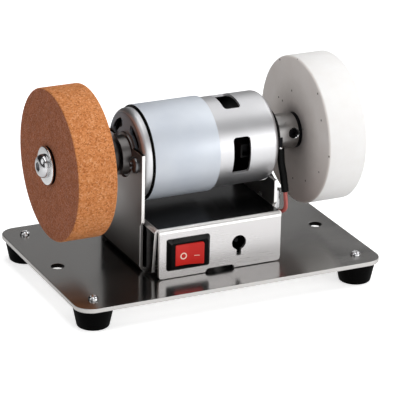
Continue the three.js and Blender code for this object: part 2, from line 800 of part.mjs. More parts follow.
// Screws that hold the motor's face to the front upright
function motorScrew(name, side) {
  const from = -bracketSheet - motorScrewHeadHeight;
  const profile = [
    [0, from],
    [motorScrewHeadRadius * 0.7, from],
    [motorScrewHeadRadius, from + motorScrewHeadHeight * 0.4],
    [motorScrewHeadRadius, -bracketSheet],
    [motorScrewRadius, -bracketSheet],
    [motorScrewRadius, canWall + cutOver],
    [0, canWall + cutOver],
  ];
  const body = turned(profile, smallSides, "x").translate([0, side * motorScrewSpacing / 2, 0]);
  piece(name, body, "screwSteel", motor);
}

// Shaft with a flat under each hub's set screw
const shaftFlat = 0.5;
function shaft() {
  const from = orangeWheelX - seatGap;
  const to = whiteWheelX + seatGap;
  let body = rod(shaftRadius, from, to, smallSides, "x");
  for (const x of [leftSetScrewX, rightSetScrewX]) {
    const cut = block(
      [x - setScrewRadius * 1.5, x + setScrewRadius * 1.5],
      [-shaftRadius - cutOver, -shaftRadius + shaftFlat], [-shaftRadius, shaftRadius]);
    body = body.subtract(cut.rotate([-THREE.MathUtils.radToDeg(setScrewLift), 0, 0]));
  }
  piece("motor_shaft", body, "screwSteel", spindle);
}
const leftSetScrewX = orangeWheelX + setScrewInset;
const rightSetScrewX = whiteWheelX - setScrewInset;

// Rotor: laminated core with five poles, its windings, commutator and fan
const poleCount = 5;
const airGap = 0.6;
const coreStart = 11;
const coreToMagnetEnd = 2;
const coreLength = magnetLength - coreToMagnetEnd * 2;
const coreHubRadius = 6.5;
const poleNeck = 4.4;
const poleLip = 2.2;
const windingOverhang = 4.4;
const coreBore = shaftRadius + slipGap;
const coreRadius = canBore - slipGap - magnetThickness - airGap;
const rotorShift = motorFaceX;
function rotorCore() {
  const hub = ring(coreHubRadius, coreBore, coreStart, coreStart + coreLength, midSides, "x");
  const tips = ring(coreRadius, coreRadius - poleLip, coreStart, coreStart + coreLength, bigSides, "x");
  let body = hub.add(tips);
  for (let k = 0; k < poleCount; k += 1) {
    const turn = 360 * k / poleCount;
    const neck = block(
      [coreStart, coreStart + coreLength], [-poleNeck / 2, poleNeck / 2],
      [coreHubRadius - poleLip / 2, coreRadius - poleLip / 2]);
    body = body.add(neck.rotate([turn, 0, 0]));
  }
  for (let k = 0; k < poleCount; k += 1) {
    const gap = block(
      [coreStart - cutOver, coreStart + coreLength + cutOver], [-poleLip / 2, poleLip / 2],
      [coreHubRadius + poleLip, coreRadius + cutOver]);
    body = body.subtract(gap.rotate([360 * (k + 0.5) / poleCount, 0, 0]));
  }
  piece("rotor_core", body, "core", spindle).position.x = rotorShift;
}

// End turns of the windings, a lobe for each pole, standing on the core's end
function winding(name, from) {
  const shape = new THREE.Shape();
  const steps = poleCount * 6;
  const waist = (coreHubRadius + coreRadius) / 2;
  const swing = (coreRadius - coreHubRadius) / 8;
  for (let i = 0; i < steps; i += 1) {
    const a = 2 * Math.PI * i / steps;
    const r = waist + swing * Math.cos(poleCount * a);
    if (i === 0) shape.moveTo(r * Math.cos(a), r * Math.sin(a));
    else shape.lineTo(r * Math.cos(a), r * Math.sin(a));
  }
  shape.closePath();
  shape.holes.push(around(0, 0, coreBore));
  piece(name, slab(shape, from, from + windingOverhang, "x", screwSides / 2), "copper", spindle).position.x = rotorShift;
}

function commutator() {
  const shape = new THREE.Shape();
  const barShare = 0.9;
  const notch = 0.4;
  for (let k = 0; k < poleCount * 2; k += 1) {
    const low = 2 * Math.PI * k / (poleCount * 2);
    const high = low + 2 * Math.PI * barShare / (poleCount * 2);
    const middle = (low + high) / 2;
    for (const a of [low, middle, high]) {
      const [y, z] = [commutatorRadius * Math.cos(a), commutatorRadius * Math.sin(a)];
      if (k === 0 && a === low) shape.moveTo(y, z);
      else shape.lineTo(y, z);
    }
    const inner = commutatorRadius - notch;
    for (const a of [high, low + 2 * Math.PI / (poleCount * 2)]) {
      shape.lineTo(inner * Math.cos(a), inner * Math.sin(a));
    }
  }
  shape.closePath();
  shape.holes.push(around(0, 0, coreBore));
  const to = commutatorStart + commutatorLength;
  piece("commutator", slab(shape, commutatorStart, to, "x", screwSides / 2), "copper", spindle).position.x = rotorShift;
}

const fanStart = 2.2;
const fanLength = 3.6;
const fanBlades = 8;
const fanBladeThickness = 0.8;
function fan() {
  const disc = ring(coreRadius - airGap, coreBore, fanStart, fanStart + fanBladeThickness, midSides, "x");
  let body = disc.add(ring(coreHubRadius, coreBore, fanStart, fanStart + fanLength, smallSides, "x"));
  for (let k = 0; k < fanBlades; k += 1) {
    const blade = block(
      [fanStart + fanBladeThickness / 2, fanStart + fanLength],
      [-fanBladeThickness / 2, fanBladeThickness / 2],
      [coreHubRadius - fanBladeThickness, coreRadius - airGap * 2]);
    body = body.add(blade.rotate([360 * k / fanBlades, 0, 0]));
  }
  piece("rotor_fan", body, "bell", spindle).position.x = rotorShift;
}

// Hub: turned sleeve on the shaft, with a spigot for the wheel and a thread for its screw
const spigotLengthShare = 0.85;
const hubThreadDepth = 12;
const shaftDepthGap = 0.6;
function hub(name, faceX, side, wheelWidth) {
  const spigot = wheelWidth * spigotLengthShare;
  const bore = shaftRadius + slipGap / 3;
  const thread = wheelScrewRadius + slipGap;
  const wall = seatGap + shaftDepthGap;
  const profile = [
    [bore, -hubLength],
    [hubRadius - hubChamfer, -hubLength],
    [hubRadius, -hubLength + hubChamfer],
    [hubRadius, 0],
    [spigotRadius, 0],
    [spigotRadius, spigot],
    [thread, spigot],
    [thread, spigot - hubThreadDepth],
    [bore, wall],
    [bore, -hubLength],
  ];
  let body = turned(profile.map(([r, t]) => [r, side * t]), midSides, "x");
  const screw = rod(setScrewRadius + slipGap, -hubRadius - cutOver, 0, smallSides, "y");
  body = body.subtract(
    screw.rotate([-THREE.MathUtils.radToDeg(setScrewLift), 0, 0]).translate([-side * setScrewInset, 0, 0]));
  piece(name, body, "hub", spindle).position.x = faceX;
}

// Set screw: hex socket, a little below the hub's surface
const setScrewSocketRadius = 1.1;
const setScrewSocketDepth = 2;
const setScrewSink = 0.5;
function setScrew(name, x) {
  const top = hubRadius - setScrewSink;
  const tip = shaftRadius - shaftFlat + seatGap;
  let body = rod(setScrewRadius, -top, -tip, smallSides, "y");
  body = body.subtract(rod(setScrewSocketRadius, -top - cutOver, -top + setScrewSocketDepth, 6, "y"));
  body = body.rotate([-THREE.MathUtils.radToDeg(setScrewLift), 0, 0]);
  piece(name, body, "blackSteel", spindle).position.x = x;
}

// Wheel: thick disc with softened rims and a bore on the hub's spigot
function wheel(name, faceX, side, width, look) {
  const bore = spigotRadius + slipGap;
  const e = wheelEdge;
  const profile = [
    [bore, slipGap],
    [wheelRadius - e, slipGap],
    [wheelRadius, slipGap + e],
    [wheelRadius, width - e],
    [wheelRadius - e, width],
    [bore, width],
    [bore, slipGap],
  ];
  const body = turned(profile.map(([r, t]) => [r, side * t]), wheelSides, "x");
  piece(name, body, look, spindle).position.x = faceX;
}

function washer(name, faceX, side) {
  const bore = wheelScrewRadius + slipGap;
  const bevel = washerThickness * 0.35;
  const profile = [
    [bore, 0],
    [washerRadius, 0],
    [washerRadius, washerThickness - bevel],
    [washerRadius - bevel, washerThickness],
    [bore, washerThickness],
    [bore, 0],
  ];
  const body = turned(profile.map(([r, t]) => [r, side * t]), midSides, "x");
  piece(name, body, "screwSteel", spindle).position.x = faceX;
}

// Button head screw with a hex socket, through the washer into the hub
const wheelScrewGrip = 10;
const wheelScrewSocketDepth = 2;
function wheelScrew(name, faceX, side, wheelWidth) {
  const under = wheelWidth * (1 - spigotLengthShare) + washerThickness + wheelScrewGrip;
  const dome = arc(0, 0, 1, 0, Math.PI / 2, bendSteps + 1).map(([c, s]) => [
    wheelScrewHeadRadius * (0.35 + 0.65 * c), wheelScrewHeadHeight * (0.2 + 0.8 * s)]);
  const profile = [
    [0, -under],
    [wheelScrewRadius, -under],
    [wheelScrewRadius, 0],
    [wheelScrewHeadRadius, 0],
    ...dome,
    [0, wheelScrewHeadHeight],
  ];
  let body = turned(profile.map(([r, t]) => [r, side * t]), smallSides + bendSteps + 1, "x");
  const ends = [wheelScrewHeadHeight - wheelScrewSocketDepth, wheelScrewHeadHeight + cutOver];
  const [from, to] = side > 0 ? ends : [-ends[1], -ends[0]];
  body = body.subtract(rod(wheelScrewSocketRadius, from, to, 6, "x"));
  piece(name, body, "screwSteel", spindle).position.x = faceX;
}

// Switch housing: bevelled bezel, body behind the panel, well for the rocker and its two pivots
const wellDepth = 7.5;
const pivotDepth = 0.8;
const pivotGap = 0.07;
const rockerSideGap = 0.2;
const rockerPivotY = 0.4;
const wellLengthGap = 0.75;
function switchHousing() {
  const flange = bezelLayer(0, -bezelThickness / 2 - slipGap, 0);
  const lip = bezelLayer(bezelBevel, -bezelThickness, -bezelThickness / 2);
  let body = flange.add(lip);
  const body2 = block(
    [-switchBodyLength / 2, switchBodyLength / 2], [-slipGap * 2, switchBodyDepth],
    [-switchBodyHeight / 2, switchBodyHeight / 2]);
  body = body.add(body2);
  const halfX = rockerLength / 2 + wellLengthGap;
  const halfZ = rockerHeight / 2 + rockerSideGap;
  body = body.subtract(block([-halfX, halfX], [-bezelThickness - cutOver, wellDepth], [-halfZ, halfZ]));
  const socket = rod(rockerPinRadius + pivotGap, -halfZ - pivotDepth, halfZ + pivotDepth, smallSides, "z");
  body = body.subtract(socket.translate([0, rockerPivotY, 0]));
  piece("switch_housing", body, "black", control);
}

// Bezel layer: the lower one stands on the panel, the upper one is drawn in by the bevel
function bezelLayer(inset, from, to) {
  const x = bezelLength / 2 - inset;
  const z = bezelHeight / 2 - inset;
  return block([-x, x], [from, to], [-z, z]);
}

// Rocker, pressed in at its left end: shallow valley between its two faces, pins above and below
function rocker() {
  const half = rockerLength / 2;
  const valley = rockerCrown - half * Math.tan(rockerTilt);
  const skirt = -rockerCrown * 0.35;
  const keel = -rockerCrown * 1.1;
  const outline = polygon([
    [-half, -skirt],
    [-half, -rockerCrown + hubChamfer / 2],
    [-half + hubChamfer / 2, -rockerCrown],
    [0, -valley],
    [half - hubChamfer / 2, -rockerCrown],
    [half, -rockerCrown + hubChamfer / 2],
    [half, -skirt],
    [half * 0.3, -keel],
    [-half * 0.3, -keel],
  ]);
  let body = slab(outline, -rockerHeight / 2, rockerHeight / 2, "z");
  const reach = rockerHeight / 2 + rockerSideGap + pivotDepth * 0.8;
  body = body.add(rod(rockerPinRadius, -reach, reach, smallSides, "z"));
  const mesh = piece("rocker", body, "red", control);
  mesh.position.y = rockerPivotY;
  mesh.rotation.z = -rockerTilt;
}

const bladeOffset = 5;
const bladeWidth = 4.8;
const bladeThickness = 0.8;
const bladeLength = 6.5;
function switchBlade(name, side) {
  const x = side * bladeOffset;
  const body = block(
    [x - bladeThickness / 2, x + bladeThickness / 2],
    [switchBodyDepth, switchBodyDepth + bladeLength],
    [-bladeWidth / 2, bladeWidth / 2]);
  piece(name, body, "brass", control);
}

// Power socket: moulded block against the back of the panel, its mouth behind the keyed hole
const socketWidth = 11;
const socketDepth = 13;
const socketBore = 3.2;
const socketBoreDepth = 9.5;
const socketPinRadius = 1;
function powerSocket() {
  const y = panelY + boxSheet;
  let body = block(
    [-socketWidth / 2, socketWidth / 2], [y, y + socketDepth], [-socketWidth / 2, socketWidth / 2]);
  body = body.subtract(rod(socketBore, y - cutOver, y + socketBoreDepth, midSides, "y"));
  piece("power_socket", body, "black", onPlate).position.set(keyX, 0, keyZ);
  const pin = rod(socketPinRadius, y + boxSheet, y + socketBoreDepth, screwSides, "y");
  piece("socket_pin", pin, "brass", onPlate).position.set(keyX, 0, keyZ);
}

// Lead clip: bent strip round one lead, screwed to the outside of the rear upright
const clipOuter = 2.4;
const clipBore = 1.4;
const clipY = -13.8;
const clipTab = 9.6;
const clipStrip = 0.9;
const clipScrewRadius = 1.25;
const clipScrewHeadRadius = 2.4;
const clipScrewHeadHeight = 1.7;
const clipMiddle = (clipLow + clipHigh) / 2;
const clipScrewY = clipY + clipTab - clipScrewHeadRadius * 1.3;
function leadClip() {
  const wall = rearUprightX + bracketSheet;
  const x = wall + clipOuter;
  let body = rod(clipOuter, clipLow, clipHigh, smallSides, "z").translate([x, clipY, 0]);
  body = body.add(block([wall, wall + clipStrip], [clipY, clipY + clipTab], [clipLow, clipHigh]));
  body = body.subtract(rod(clipBore, clipLow - cutOver, clipHigh + cutOver, smallSides, "z").translate([x, clipY, 0]));
  const hole = rod(clipScrewRadius + slipGap, wall - cutOver, wall + clipStrip + cutOver, screwSides, "x");
  body = body.subtract(hole.translate([0, clipScrewY, clipMiddle]));
  piece("lead_clip", body, "screwSteel", onPlate);
  const head = wall + clipStrip;
  const profile = [
    [0, rearUprightX],
    [clipScrewRadius, rearUprightX],
    [clipScrewRadius, head],
    [clipScrewHeadRadius, head],
    [clipScrewHeadRadius, head + clipScrewHeadHeight * 0.5],
    [clipScrewHeadRadius * 0.7, head + clipScrewHeadHeight],
    [0, head + clipScrewHeadHeight],
  ];
  piece("clip_screw", turned(profile, screwSides, "x"), "screwSteel", onPlate).position.set(0, clipScrewY, clipMiddle);
}

// Leads: each starts under its terminal blade in a shrunk sleeve and ends at the switch or the socket
function leads() {
  const start = axisHeight - terminalWidth / 2 - seatGap;
  const wall = rearUprightX + bracketSheet;
  const mouth = wall + grommetLipWidth;
  const inside = boxWidth / 2 - grommetLipWidth;
  const back = motorFaceX + bellRear + leadSleeveRadius + seatGap;
  const lift = leadRadius + slipGap;
  const bladeX = switchX + bladeOffset;
  const bladeEnd = panelY + switchBodyDepth + bladeLength + seatGap;
  const socketEnd = panelY + boxSheet + socketDepth + seatGap;
  const clipX = wall + clipOuter;
  const r = leadRadius;
  const red = [
    [back, -terminalY, start],
    [back + r * 0.2, -terminalY - r * 0.4, start - r * 6.4],
    [back + r * 1.1, -terminalY - r * 1.2, start - r * 12.6],
    [back + r * 1.9, -terminalY - r * 2, clipHigh - r * 1.3],
    [back + r * 2.1, -terminalY - r * 2.5, clipLow + r * 3.3],
    [back + r * 2.2, -terminalY - r * 2.6, clipLow],
    [back + r * 1.6, -terminalY - r, grommetZ + r * 2.8],
    [back - r * 0.2, grommetY - r * 3.4, grommetZ + r * 1.7],
    [mouth + r * 1.7, grommetY - r * 0.6, grommetZ + lift + r * 0.1],
    [mouth + r * 0.5, grommetY, grommetZ + lift],
    [inside, grommetY, grommetZ + lift],
    [inside - r * 4, grommetY, grommetZ + lift],
    [keyX + r * 0.8, grommetY - r, grommetZ + r * 2.5],
    [(keyX + bladeX) / 2, grommetY + r * 0.5, grommetZ + r * 0.8],
    [bladeX, bladeEnd + r * 3, switchZ],
    [bladeX, bladeEnd, switchZ],
  ];
  const black = [
    [back, terminalY, start],
    [back, terminalY, start - r * 5.4],
    [back, terminalY - r * 0.2, start - r * 10.4],
    [back, terminalY - r * 3, clipHigh + r * 5.1],
    [back - r * 0.1, r * 4, clipHigh + r * 4.1],
    [back - r * 0.8, r * -6, clipHigh + r * 3.5],
    [clipX + r * 0.4, clipY + r * 1.6, clipHigh + r * 2.4],
    [clipX, clipY, clipHigh],
    [clipX, clipY, clipLow],
    [clipX - r * 0.2, clipY + r * 1.4, grommetZ + r * 0.6],
    [mouth + r * 1.5, grommetY - r * 1.4, grommetZ - lift],
    [mouth + r * 0.5, grommetY, grommetZ - lift],
    [inside, grommetY, grommetZ - lift],
    [inside - r * 4, grommetY, grommetZ - lift],
    [keyX + r * 4.8, grommetY - r * 1.8, keyZ],
    [keyX, socketEnd + r * 4, keyZ],
    [keyX, socketEnd, keyZ],
  ];
  piece("lead_red", strand(red, leadRadius, 48), "redLead", onPlate);
  piece("lead_black", strand(black, leadRadius, 50), "black", onPlate);
  piece("lead_sleeve_front", strand(red.slice(0, 4), leadSleeveRadius, 8, leadSleeveBore), "rubber", onPlate);
  piece("lead_sleeve_rear", strand(black.slice(0, 3), leadSleeveRadius, 6, leadSleeveBore), "rubber", onPlate);
}

basePlate();
for (const [name, sx, sy] of corners) {
  foot(name, sx * footX, sy * footY);
  footScrew(name, sx * footX, sy * footY);
}
motorBracket();
plateScrews();
switchBox();
grommet();
leadClip();
leads();

motorCan();
fluxSleeve();
endBell();
bearing("bearing_front", -bossLength + canWall);
bearing("bearing_rear", bellRear + canWall - bearingLength);
magnet("magnet_upper", Math.PI / 2);
magnet("magnet_lower", -Math.PI / 2);
terminal("terminal_front", -1);
terminal("terminal_rear", 1);
brushCard();
brush("brush_front", -1);
brush("brush_rear", 1);
motorScrew("motor_screw_front", -1);
motorScrew("motor_screw_rear", 1);

shaft();
rotorCore();
winding("winding_front", coreStart - windingOverhang);
winding("winding_rear", coreStart + coreLength);
commutator();
fan();
hub("hub_orange", orangeWheelX, -1, orangeWheelWidth);
hub("hub_white", whiteWheelX, 1, whiteWheelWidth);
setScrew("set_screw_orange", leftSetScrewX);
setScrew("set_screw_white", rightSetScrewX);
wheel("wheel_orange", orangeWheelX, -1, orangeWheelWidth, "orange");
wheel("wheel_white", whiteWheelX, 1, whiteWheelWidth, "white");
washer("washer_orange", orangeWheelX - orangeWheelWidth, -1);
washer("washer_white", whiteWheelX + whiteWheelWidth, 1);
wheelScrew("wheel_screw_orange", orangeWheelX - orangeWheelWidth - washerThickness, -1, orangeWheelWidth);
wheelScrew("wheel_screw_white", whiteWheelX + whiteWheelWidth + washerThickness, 1, whiteWheelWidth);

switchHousing();
rocker();
switchBlade("switch_blade_left", -1);
switchBlade("switch_blade_right", 1);
powerSocket();

export default model;
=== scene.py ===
import math

import bmesh
import bpy
from mathutils import Matrix, Vector


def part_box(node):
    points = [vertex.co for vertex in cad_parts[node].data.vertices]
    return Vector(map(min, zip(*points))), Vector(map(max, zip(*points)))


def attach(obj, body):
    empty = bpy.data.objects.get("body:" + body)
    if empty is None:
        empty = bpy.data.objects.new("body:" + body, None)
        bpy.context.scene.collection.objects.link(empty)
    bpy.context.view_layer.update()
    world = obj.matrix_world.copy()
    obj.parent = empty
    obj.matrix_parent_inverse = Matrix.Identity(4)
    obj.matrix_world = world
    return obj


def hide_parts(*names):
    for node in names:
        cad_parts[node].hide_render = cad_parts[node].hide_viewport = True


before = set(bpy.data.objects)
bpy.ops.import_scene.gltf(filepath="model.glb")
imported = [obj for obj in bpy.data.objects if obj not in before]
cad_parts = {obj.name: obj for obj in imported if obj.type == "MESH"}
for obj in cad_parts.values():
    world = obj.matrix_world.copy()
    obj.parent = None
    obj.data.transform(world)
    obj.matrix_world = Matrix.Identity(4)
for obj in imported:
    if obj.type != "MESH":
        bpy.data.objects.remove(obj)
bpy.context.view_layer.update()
mm = 0.001
turn = 2 * math.pi

# places shared with the solids, in millimetres
shaft = {"height": 61.1, "plateTop": 12.0, "motorFace": -33.5}


def at(x, y, z):
    return Vector((x, y, z)) * mm


def addObject(name, data):
    made = bpy.data.objects.new(name, data)
    bpy.context.scene.collection.objects.link(made)
    return made


def meshOf(form, name):
    mesh = bpy.data.meshes.new(name)
    form.to_mesh(mesh)
    form.free()
    return mesh


# ---------- camera, lamps, floor ----------

cameraSet = {"yaw": 25.826, "pitch": 21.680, "roll": -1.261, "lens": 230.115, "sensor": 36.0,
             "shift": (-4.948, -20.473, -1173.583), "zero": (-1.1, 0.0, 12.0), "clipStart": 0.05}


def placeCamera():
    yaw, pitch, roll = (math.radians(cameraSet[k]) for k in ("yaw", "pitch", "roll"))
    back = Vector((-math.sin(yaw) * math.cos(pitch), -math.cos(yaw) * math.cos(pitch), math.sin(pitch)))
    right = (-back).cross(Vector((0, 0, 1))).normalized()
    up = right.cross(-back)
    looking = Matrix.Rotation(roll, 3, "Z") @ Matrix((right, up, back))
    place = looking.transposed() @ -Vector(cameraSet["shift"]) + Vector(cameraSet["zero"])
    data = bpy.data.cameras.new("productCamera")
    data.lens = cameraSet["lens"]
    data.sensor_width = cameraSet["sensor"]
    data.sensor_fit = "HORIZONTAL"
    data.clip_start = cameraSet["clipStart"]
    camera = addObject("productCamera", data)
    camera.matrix_world = Matrix.Translation(place * mm) @ looking.transposed().to_4x4()
    bpy.context.scene.camera = camera


# each softbox: azimuth from +X, elevation, apparent width and height, all in degrees, and its radiance
softboxes = {
    "front": (285, 15, 29, 30, 1.90),
    "frontRight": (317, 7.5, 35, 15, 6.5),
    "frontLeft": (252, 22, 32, 44, 1.35),
    "frontHigh": (285, 37, 24, 15, 0.60),
    "overhead": (0, 90, 56, 26, 2.40),
    "rightHigh": (0, 48, 29, 24, 3.20),
    "left": (180, 39, 34, 42, 1.35),
    "backRight": (39, 18, 32, 35, 0.86),
    "backMiddle": (67, 18, 14, 35, 0.32),
    "backHigh": (44, 48, 30, 24, 1.40),
}
studio = {
    "distance": 2.5,
    "aim": (0.0, 0.0, 0.05),
    "world": 0.02,
    "floorForCamera": "#FFFFFF",
    "floorForBounce": "#DADADA",
    "floorGlow": 0.6,
    "floorFade": (-0.15, 0.30, 0.35),
    "floorReach": 4.0,
}


def addSoftbox(name):
    azimuth, elevation, wide, high, radiance = softboxes[name]
    a, e = math.radians(azimuth), math.radians(elevation)
    across = Vector((-math.sin(a), math.cos(a), 0))
    back = Vector((math.cos(a) * math.cos(e), math.sin(a) * math.cos(e), math.sin(e)))
    turned = Matrix((across, back.cross(across), back)).transposed().to_4x4()
    data = bpy.data.lights.new(name, "AREA")
    data.shape = "RECTANGLE"
    data.size, data.size_y = (2 * studio["distance"] * math.tan(math.radians(angle) / 2)
                              for angle in (wide, high))
    data.energy = radiance * math.pi * data.size * data.size_y
    lamp = addObject(name, data)
    lamp.matrix_world = Matrix.Translation(Vector(studio["aim"]) + back * studio["distance"]) @ turned


def linearColor(hexText):
    parts = [int(hexText[i:i + 2], 16) / 255 for i in (1, 3, 5)]
    return [c / 12.92 if c <= 0.04045 else ((c + 0.055) / 1.055) ** 2.4 for c in parts] + [1.0]


def mainOutput(source):
    # a colour mix gives its colour as its third output
    if isinstance(source, bpy.types.NodeSocket):
        return source
    return source.outputs[2 if getattr(source, "data_type", "") == "RGBA" else 0]


def addNode(tree, kind, values=None, links=None, steps=(), into=None, **settings):
    # links come from other nodes' main outputs or from named ones; into is the shader's socket that the node feeds
    node = tree.nodes.new("ShaderNode" + kind)
    for key, value in settings.items():
        setattr(node, key, value)
    for key, value in (values or {}).items():
        node.inputs[key].default_value = value
    for key, source in (links or {}).items():
        tree.links.new(mainOutput(source), node.inputs[key])
    for _ in steps[2:]:
        node.color_ramp.elements.new(0.5)
    for index, (where, color) in enumerate(steps):
        node.color_ramp.elements[index].position = where
        node.color_ramp.elements[index].color = linearColor(color)
    if into:
        tree.links.new(mainOutput(node), tree.nodes["Principled BSDF"].inputs[into])
    return node


def newMaterial(name, color, **sockets):
    # gives the material with its tree and the object's own coordinates
    material = bpy.data.materials.new(name)
    material.use_nodes = True
    tree = material.node_tree
    shader = tree.nodes["Principled BSDF"]
    shader.inputs["Base Color"].default_value = linearColor(color)
    material.diffuse_color = linearColor(color)
    for key, value in sockets.items():
        shader.inputs[key.replace("_", " ")].default_value = value
    return material, tree, addNode(tree, "TexCoord").outputs["Object"]


def floorMaterial():
    # matt white paper sweep; its bounce is greyer than the camera sees, so the left sides stay in shade
    material, tree, place = newMaterial("paperSweep", studio["floorForCamera"], Roughness=0.9,
                                        Emission_Color=(1, 1, 1, 1))
    rays = addNode(tree, "LightPath")
    seen = addNode(tree, "Math", links={0: rays.outputs["Is Camera Ray"], 1: rays.outputs["Is Glossy Ray"]},
                   operation="MAXIMUM")
    seen = addNode(tree, "Math", links={0: seen, 1: rays.outputs["Is Transmission Ray"]}, operation="MAXIMUM")
    mix = addNode(tree, "Mix", {6: linearColor(studio["floorForBounce"]), 7: linearColor(studio["floorForCamera"])},
                  {0: seen}, data_type="RGBA")
    near, far, least = studio["floorFade"]
    depth = addNode(tree, "SeparateXYZ", links={"Vector": place})
    fade = addNode(tree, "MapRange", {"From Min": near, "From Max": far, "To Min": 1.0, "To Max": least},
                   {"Value": depth.outputs["Y"]})
    level = addNode(tree, "Mix", {2: 1.0}, {0: rays.outputs["Is Glossy Ray"], 3: fade})
    addNode(tree, "VectorMath", links={0: mix, "Scale": level}, operation="SCALE", into="Base Color")
    glow = addNode(tree, "Math", {1: studio["floorGlow"]}, {0: seen}, operation="MULTIPLY")
    addNode(tree, "Math", links={0: glow, 1: level}, operation="MULTIPLY", into="Emission Strength")
    return material


def makeFloor():
    form = bmesh.new()
    bmesh.ops.create_grid(form, x_segments=4, y_segments=4, size=studio["floorReach"])
    floor = addObject("floor", meshOf(form, "floor"))
    floor.data.materials.append(floorMaterial())


def makeWorld():
    world = bpy.data.worlds.new("studioRoom")
    bpy.context.scene.world = world
    world.use_nodes = True
    tree = world.node_tree
    tree.nodes.clear()
    rays = addNode(tree, "LightPath")
    room = addNode(tree, "Background", {"Color": (1, 1, 1, 1), "Strength": studio["world"]})
    white = addNode(tree, "Background", {"Color": (1, 1, 1, 1), "Strength": 1.0})
    mix = addNode(tree, "MixShader", links={0: rays.outputs["Is Camera Ray"], 1: room, 2: white})
    addNode(tree, "OutputWorld", links={"Surface": mix})


# ---------- materials ----------

# stainless sheet, brushed along X: long fine scratches, and a reflection drawn out across them
def brushedSheet(name, color, roughness, depth, stretch):
    lineMm, lengthMm = 0.45, 30.0
    patchesPerMetre = (14, 45, 45)
    material, tree, place = newMaterial(name, color, Metallic=1.0, Roughness=roughness, Anisotropic=stretch)
    addNode(tree, "Tangent", direction_type="UV_MAP", uv_map="acrossGrain", into="Tangent")
    lines = addNode(tree, "Mapping", {"Scale": (1 / (lengthMm * mm), 1 / (lineMm * mm), 1 / (lineMm * mm))},
                    {"Vector": place})
    scratch = addNode(tree, "TexNoise", {"Scale": 1.0, "Detail": 3.0, "Roughness": 0.6}, {"Vector": lines})
    patches = addNode(tree, "Mapping", {"Scale": patchesPerMetre}, {"Vector": place})
    broad = addNode(tree, "TexNoise", {"Scale": 1.0, "Detail": 2.0}, {"Vector": patches})
    mixed = addNode(tree, "Math", {1: 0.5}, {0: scratch, 2: broad}, operation="MULTIPLY_ADD")
    addNode(tree, "MapRange",
            {"From Min": 0.4, "From Max": 1.1, "To Min": roughness - 0.07, "To Max": roughness + 0.09},
            {"Value": mixed}, into="Roughness")
    addNode(tree, "Bump", {"Strength": depth, "Distance": 0.02 * mm}, {"Height": scratch}, into="Normal")
    return material


# turned or plated small steel parts: a soft mirror with faint rings and handling marks
def platedSteel(name, color, roughness, grainMm=0.35, marks=0.06):
    ringMm, lengthMm = grainMm * 0.3, grainMm * 6
    blotchesPerMetre = 140.0
    material, tree, place = newMaterial(name, color, Metallic=1.0, Roughness=roughness)
    rings = addNode(tree, "Mapping", {"Scale": (1 / (ringMm * mm), 1 / (lengthMm * mm), 1 / (lengthMm * mm))},
                    {"Vector": place})
    grain = addNode(tree, "TexNoise", {"Scale": 1.0, "Detail": 4.0, "Roughness": 0.65}, {"Vector": rings})
    blotch = addNode(tree, "TexNoise", {"Scale": blotchesPerMetre, "Detail": 3.0}, {"Vector": place})
    mixed = addNode(tree, "Math", {1: 0.5}, {0: grain, 2: blotch}, operation="MULTIPLY_ADD")
    addNode(tree, "MapRange",
            {"From Min": 0.4, "From Max": 1.1, "To Min": max(roughness - marks, 0.03), "To Max": roughness + marks},
            {"Value": mixed}, into="Roughness")
    addNode(tree, "Bump", {"Strength": 0.04, "Distance": 0.02 * mm}, {"Height": grain}, into="Normal")
    return material


# vitrified abrasive: grit about 0.3 mm, drawn coarser so that it shows, with small pores and pale crystals
def bondedGrit(name, wash, gritMm):
    material, tree, place = newMaterial(name, "#C8835A", Roughness=0.92, Specular_IOR_Level=0.2)
    cells = addNode(tree, "TexVoronoi", {"Scale": 1 / (gritMm * mm), "Randomness": 1.0}, {"Vector": place})
    tone = addNode(tree, "SeparateColor", links={"Color": cells.outputs["Color"]})
    cloud = addNode(tree, "TexNoise", {"Scale": 1 / (6 * mm), "Detail": 4.0, "Roughness": 0.65}, {"Vector": place})
    fine = addNode(tree, "TexNoise", {"Scale": 1 / (1.3 * mm), "Detail": 5.0, "Roughness": 0.8}, {"Vector": place})
    grains = addNode(tree, "ValToRGB", links={"Fac": tone},
                     steps=[(0.0, "#8E4C26"), (0.14, "#B66938"), (0.4, "#D68951"), (0.7, "#DD965E"),
                            (0.92, "#E8AA7A"), (1.0, "#EFBF94")])
    drift = addNode(tree, "ValToRGB", links={"Fac": fine},
                    steps=[(0.32, "#B46A3A"), (0.5, "#D98D56"), (0.68, "#EAA974")])
    soft = addNode(tree, "Mix", {0: 0.4}, {6: grains, 7: drift}, data_type="RGBA")
    wide = addNode(tree, "ValToRGB", links={"Fac": cloud}, steps=[(0.35, wash[0]), (0.65, wash[1])])
    addNode(tree, "Mix", {0: 1.0}, {6: soft, 7: wide}, data_type="RGBA", blend_type="MULTIPLY", into="Base Color")
    height = addNode(tree, "Math", {1: 0.6}, {0: fine, 2: tone}, operation="MULTIPLY_ADD")
    addNode(tree, "Bump", {"Strength": 0.45, "Distance": 0.16 * mm}, {"Height": height}, into="Normal")
    return material


feltLook = {"innerFace": 51.6, "innerFade": 0.6, "ringFrom": 8.0, "ringTo": 26.0, "lowShadeFrom": -30.0, "dustTo": 6.0,
            "speckCell": 4.2, "speckShare": 0.09, "uneven": 3.0}


